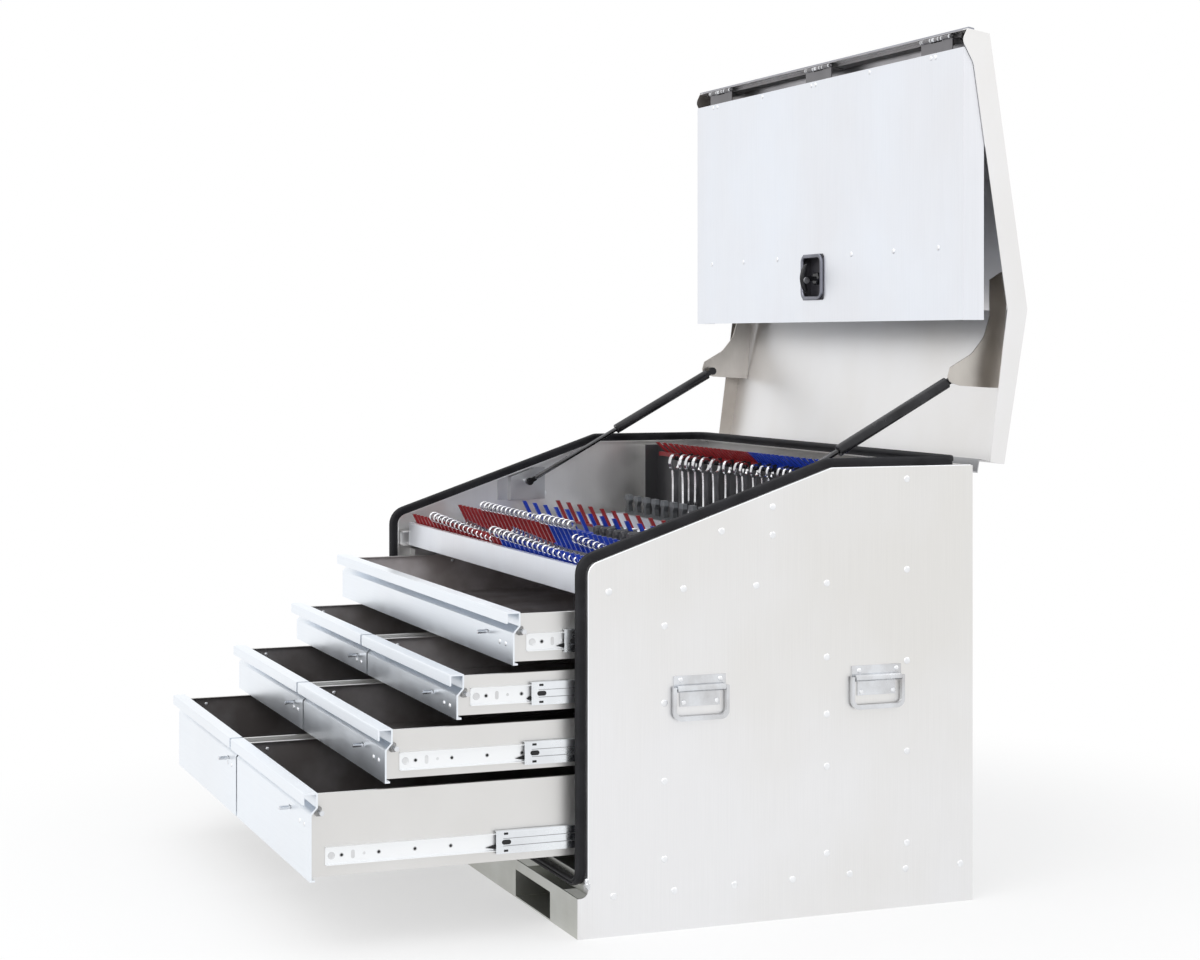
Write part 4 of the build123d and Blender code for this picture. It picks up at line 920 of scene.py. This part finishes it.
# %% Wrenches on the board
BOARD_FACE_Y = 227
RING_Y, RING_HEIGHT = 201, 780
RING_YAW = math.radians(27)
HANGING_AT = (-376, -323, -285, -252, -209, -155, -92, -31, -7, 46, 91, 120, 173, 198, 223)
HANG_HOLE = 0.68
PEG_R, PEG_BACK = 3, 8
PEG_PROFILE = [(0, 0), (PEG_R, 0), (PEG_R, 14), (PEG_R + 1.2, 15), (0, 16)]
board_wrenches, pegs = bmesh.new(), bmesh.new()
for k, x in enumerate(HANGING_AT):
    share = k / (len(HANGING_AT) - 1)
    ring_r = 20.5 - 8 * share
    yaw = RING_YAW + 0.12 * math.sin(2.4 * k)
    flat = Vector((math.cos(yaw), math.sin(yaw), 0))
    ring_at = Vector((x, RING_Y, RING_HEIGHT + 5 * share))
    wrench(board_wrenches, ring_at, (0.03 * math.sin(1.7 * k), 0, -1), flat, 170 - 70 * share,
           ring_r, ring_r * 0.92, 8 - 3 * share, HANG_HOLE)
    peg_at = ring_at + Vector((0, 0, ring_r * HANG_HOLE - PEG_R)) - flat * PEG_BACK
    turned(pegs, peg_at, flat, PEG_PROFILE, 10)
    back = BOARD_FACE_Y - peg_at.y
    plate(pegs, peg_at + Vector((-0.5, 0, 0)), ALONG, UP,
          [(-4, -4), (0, -5), (back, -9), (back, 12), (-4, 4)], 2)
fitted("board_wrenches", board_wrenches, chrome, "cabinet", sharp=40)
fitted("board_pegs", pegs, moulded, "cabinet")

# %% [markdown]
# A few black-handled drivers lie across the two wide racks. A handle could be a box with round
# edges, but a real one is turned, so one profile with a waist behind the guard makes it, and a
# second one the blade.

# %% Black-handled drivers
HANDLE_PROFILE = [(0, 0), (8, 0.6), (10.6, 4), (11.2, 10), (10.4, 22), (9.2, 34), (8.2, 42),
                  (10.2, 46), (10.2, 49), (5, 51), (0, 51)]
BLADE_PROFILE = [(2.6, 0), (2.6, 66), (1.8, 70), (0, 70)]
FIRST_HANDLE, HANDLE_PITCH, HANDLE_COUNT = Vector((-66, -116, 659.5)), 37, 7
BLADE_START = Vector((0, 50, 0))
handles, blades = bmesh.new(), bmesh.new()
for k in range(HANDLE_COUNT):
    at = FIRST_HANDLE + Vector((HANDLE_PITCH * k, 0, 0))
    turned(handles, at, ALONG, HANDLE_PROFILE, 10)
    turned(blades, at + BLADE_START, ALONG, BLADE_PROFILE, 10)
fitted("black_handles", handles, moulded, "tray", sharp=25)
fitted("driver_blades", blades, chrome, "tray")

# %% [markdown]
# The seal is an extruded rubber profile pushed over the edge of the opening: a flat foot and
# two rounded ridges with a groove between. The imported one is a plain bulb, so this one is swept
# along the same line. A bevelled curve could do it, but the ridges must keep facing forward at
# the corners, so each ring of the profile is placed by itself.

# %% Seal with two ridges
SEAL_LINE = [((-592, -388.5, 92), 30), ((592, -388.5, 92), 30), ((592, -388.5, 658), 24),
             ((592, 91.4, 821), 24), ((592, 363, 821), 28), ((-592, 363, 821), 28),
             ((-592, 91.4, 821), 24), ((-592, -388.5, 658), 24)]
FORWARD, UPWARD = Vector((0, -1, 0)), Vector((0, 0, 1))
SLOPED = Vector((0, -162.9, 479.9)).normalized()
SEAL_FACES = [FORWARD, FORWARD, SLOPED, UPWARD, UPWARD, UPWARD, SLOPED, FORWARD]
SEAL_PROFILE = [(-4.5, 0), (-4.5, 6), (-6.2, 8), (-6.2, 14), (-5.4, 16.4), (-3.6, 17.5), (-1.8, 16.6),
                (-0.9, 14.4), (0.9, 14.4), (1.8, 16.6), (3.6, 17.5), (5.4, 16.4), (6.2, 14),
                (6.2, 8), (4.5, 6), (4.5, 0)]
CORNER_STEPS = 7


def rounded_corner(before, corner, after, radius):
    """Points on the arc that joins two runs, from the first run to the second."""
    into = (Vector(corner) - Vector(before)).normalized()
    away = (Vector(after) - Vector(corner)).normalized()
    turn = into.angle(away)
    cut = radius * math.tan(turn / 2)
    start, end = Vector(corner) - into * cut, Vector(corner) + away * cut
    centre = (start + end) / 2 + (away - into).normalized() * radius * math.cos(turn / 2)
    for k in range(CORNER_STEPS + 1):
        part = k / CORNER_STEPS
        swing = (start - centre).normalized().slerp((end - centre).normalized(), part)
        yield centre + swing * radius, into.slerp(away, part), part


seal = bmesh.new()
rings = []
count = len(SEAL_LINE)
for k, (corner, radius) in enumerate(SEAL_LINE):
    before, after = SEAL_LINE[k - 1][0], SEAL_LINE[(k + 1) % count][0]
    face_in, face_out = SEAL_FACES[k - 1], SEAL_FACES[k]
    for spot, run, part in rounded_corner(before, corner, after, radius):
        out = (face_in * (1 - part) + face_out * part).normalized()
        side = run.cross(out).normalized()
        rings.append([seal.verts.new(spot + side * a + out * b) for a, b in SEAL_PROFILE])
skinned(seal, rings, closed=True)
ridged_seal = fitted("ridged_seal", seal, rubber, "cabinet", sharp=60)
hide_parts("bulb_seal")

# %% [markdown]
# The door latch is a pressed dish with a soft raised rim. The rim rises steeply outside and
# falls slowly inside, which a bevel can't give, so a profile goes round the dish's square.

# %% Rim of the latch dish
latch_low, latch_high = mm_box("latch_dish")
latch_x, latch_z = (latch_low.x + latch_high.x) / 2, (latch_low.z + latch_high.z) / 2
satin = rolled_metal("satin_cast", (0.25, 0.255, 0.30), (0.18, 0.185, 0.215), UPRIGHT,
                     (0.32, 0.45), 0.04)
dress("latch_dish", matt_skin("dish_dark", (0.028, 0.027, 0.032), 0.35))
RIM_CORNER, RIM_SUNK = 18, 0.6
RIM_PROFILE = [(0, 0), (0, 3.4), (1.0, 4.8), (3.2, 5.4), (6.0, 5.2), (7.6, 4.2), (8.6, 1.8), (8.6, 0)]
rim = bmesh.new()
rings = []
for inset, out in RIM_PROFILE:
    wide = latch_high.x - latch_low.x - 2 * inset
    y = latch_low.y + RIM_SUNK - out
    rings.append([rim.verts.new((latch_x + a, y, latch_z + b))
                  for a, b in rounded(wide, wide, RIM_CORNER - inset)])
skinned(rim, rings, closed=True)
fitted("latch_rim", rim, satin, "door", sharp=50)

# %% [markdown]
# The T-shaped grip folds into the dish. It is cast: a crescent that is thick in the middle and
# thin at its tips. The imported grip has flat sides, so an oval section is swept along the same
# curve and takes its place.

# %% Cast grip
GRIP_STEPS, GRIP_SIDES = 14, 12
GRIP_HALF, GRIP_BOW, GRIP_IN, GRIP_LEAN = 30, 9, 7.5, 21
STEM_WIDE, STEM_HIGH = 8, 9.4
grip_low, grip_high = mm_box("t_handle")
grip_z = (grip_low.z + grip_high.z) / 2
grip_x = (grip_low.x + grip_high.x) / 2
grip = bmesh.new()
rings = []
for k in range(GRIP_STEPS + 1):
    reach = -1 + 2 * k / GRIP_STEPS
    bulge = math.sqrt(max(0.0, 1 - reach ** 2))
    spot = Vector((grip_x, grip_low.y + GRIP_IN + GRIP_BOW * reach ** 2, grip_z + GRIP_HALF * reach))
    tilt = math.atan2(GRIP_LEAN * reach, GRIP_HALF)
    back = Vector((0, math.cos(tilt), -math.sin(tilt)))
    ring = []
    for i in range(GRIP_SIDES):
        angle = 2 * math.pi * i / GRIP_SIDES
        ring.append(grip.verts.new(spot + back * (2.5 + 5 * bulge) * math.sin(angle)
                                   + Vector((1, 0, 0)) * (2 + 2.5 * bulge) * math.cos(angle)))
    rings.append(ring)
skinned(grip, rings)
stem_start, stem_end = grip_low.y + 6, grip_high.y - 1
plate(grip, (grip_x - STEM_WIDE / 2, (stem_start + stem_end) / 2, grip_z), ALONG, UP,
      rounded(stem_end - stem_start, STEM_HIGH, 3.5), STEM_WIDE)
grip_black = matt_skin("grip_black", (0.012, 0.012, 0.014), 0.2, 0.01, 0.00003)
smooth_grip = fitted("t_handle_cast", grip, grip_black, "t_handle", sharp=50)
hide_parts("t_handle")

# %% [markdown]
# A key plug sits in the grip's side, and a six-sided boss in the dish carries the spindle. Both
# are turned: the boss has just six steps, which makes its flats.

# %% Lock plug and boss
PLUG_PROFILE = [(7.2, -2), (7.2, 1.2), (6.4, 1.9), (2.8, 1.9), (2.6, 1.3), (0, 1.3)]
BOSS_PROFILE = [(15, 14), (15, 3), (12, 0), (0, 0)]
plug_grey = rolled_metal("plug_grey", (0.34, 0.34, 0.35), (0.24, 0.24, 0.25), DEEP, (0.35, 0.45), 0.01)
plug, boss = bmesh.new(), bmesh.new()
turned(plug, (grip_x + 3.5, grip_low.y + 14, grip_z - 4), (1, 0, 0), PLUG_PROFILE, 20)
fitted("lock_plug", plug, plug_grey, "t_handle")
turned(boss, (grip_x + 4, latch_low.y + 3, grip_z), ALONG, BOSS_PROFILE, 6)
fitted("latch_boss", boss, grip_black, "door", bevel=0.8)

# %% [markdown]
# Each door hinge is rolled from strip, and its knuckles are worn bright where they rub. Thin
# bright rings on the dark barrel show where one knuckle ends and the next begins.

# %% Bright rings on the door hinges
pin_low, pin_high = mm_box("door_hinge_pins")
barrel_y, barrel_z = (pin_low.y + pin_high.y) / 2, (pin_low.z + pin_high.z) / 2
HINGES_AT = (-503, 0, 504)
KNUCKLE_RINGS = ((-57, 3), (-50, 3), (-21, 4), (-12, 9), (10, 3), (22, 4), (52, 4))
RING_INNER, RING_OUTER, RING_CHAMFER = 3.7, 4.25, 0.3
bands = bmesh.new()
for hinge_x in HINGES_AT:
    for off, wide in KNUCKLE_RINGS:
        turned(bands, (hinge_x + off, barrel_y, barrel_z), (1, 0, 0),
               [(RING_INNER, 0), (RING_OUTER, RING_CHAMFER), (RING_OUTER, wide - RING_CHAMFER),
                (RING_INNER, wide), (RING_INNER, 0)])
fitted("hinge_rings", bands, plated, "lid", sharp=40)

# %% [markdown]
# The cut edge of each side panel is filed smooth and catches the light as a thin bright line.
# The imported panel can't be bevelled, so the line is a thin tube along its edge, with the same
# kind of corners as the seal. Its colour, paler than the panel's sheet, is a painted highlight.

# %% Bright panel edges
EDGE_R, EDGE_PROUD = 1.5, 0.2
EDGE_LINE = [((0, -388.5, 104), 0), ((0, -388.5, 658), 24), ((0, 91.4, 821), 24), ((0, 384, 821), 0)]


def tube(shape, spots, radii, steps=8):
    """A closed tube through points, with a radius at each."""
    rings = []
    for k, spot in enumerate(spots):
        run = (spots[min(k + 1, len(spots) - 1)] - spots[max(k - 1, 0)]).normalized()
        side = run.cross(Vector((1, 0, 0))).normalized()
        over = run.cross(side)
        rings.append([shape.verts.new(spot + (side * math.cos(2 * math.pi * i / steps)
                                              + over * math.sin(2 * math.pi * i / steps)) * radii[k])
                      for i in range(steps)])
    skinned(shape, rings)


edges = bmesh.new()
for s in (-1, 1):
    spots = []
    for k, (corner, radius) in enumerate(EDGE_LINE):
        if radius:
            turned_corner = rounded_corner(EDGE_LINE[k - 1][0], corner, EDGE_LINE[k + 1][0], radius)
            spots += [spot for spot, _, _ in turned_corner]
        else:
            spots.append(Vector(corner))
    across = Vector((s * (side_x - EDGE_R + EDGE_PROUD), 0, 0))
    tube(edges, [spot + across for spot in spots], [EDGE_R] * len(spots))
# The tube's colour, paler than the side sheet, is a painted highlight along the edge.
edge_highlight_metal = rolled_metal("edge_highlight_metal", (0.97, 0.985, 1.0), (0.93, 0.94, 0.96), UPRIGHT,
                          (0.3, 0.4), 0.05)
fitted("panel_edges", edges, edge_highlight_metal, "cabinet", sharp=60)

# %% [markdown]
# At the foot of the opening a lumpy bead of weld joins the side panel to the sill. The same
# helper makes it: a short tube that swells towards its middle and wanders with noise.

# %% Weld beads
BEAD_POINTS, BEAD_IN, BEAD_Y, BEAD_TOP = 13, 6, -390, 106
BEAD_THIN, BEAD_SWELL, BEAD_LUMPS, LUMP_PITCH = 2.2, 3.4, 1.6, 0.31
beads = bmesh.new()
for s in (-1, 1):
    bead = [Vector((s * (side_x - BEAD_IN + 0.25 * k), BEAD_Y + 0.2 * k, BEAD_TOP - 1.6 * k))
            for k in range(BEAD_POINTS)]
    sizes = [BEAD_THIN + BEAD_SWELL * math.sin(math.pi * (k + 1) / (BEAD_POINTS + 1))
             + BEAD_LUMPS * noise.noise(spot * LUMP_PITCH) for k, spot in enumerate(bead)]
    tube(beads, bead, sizes, 10)
fitted("weld_beads", beads, plated, "cabinet", sharp=80)
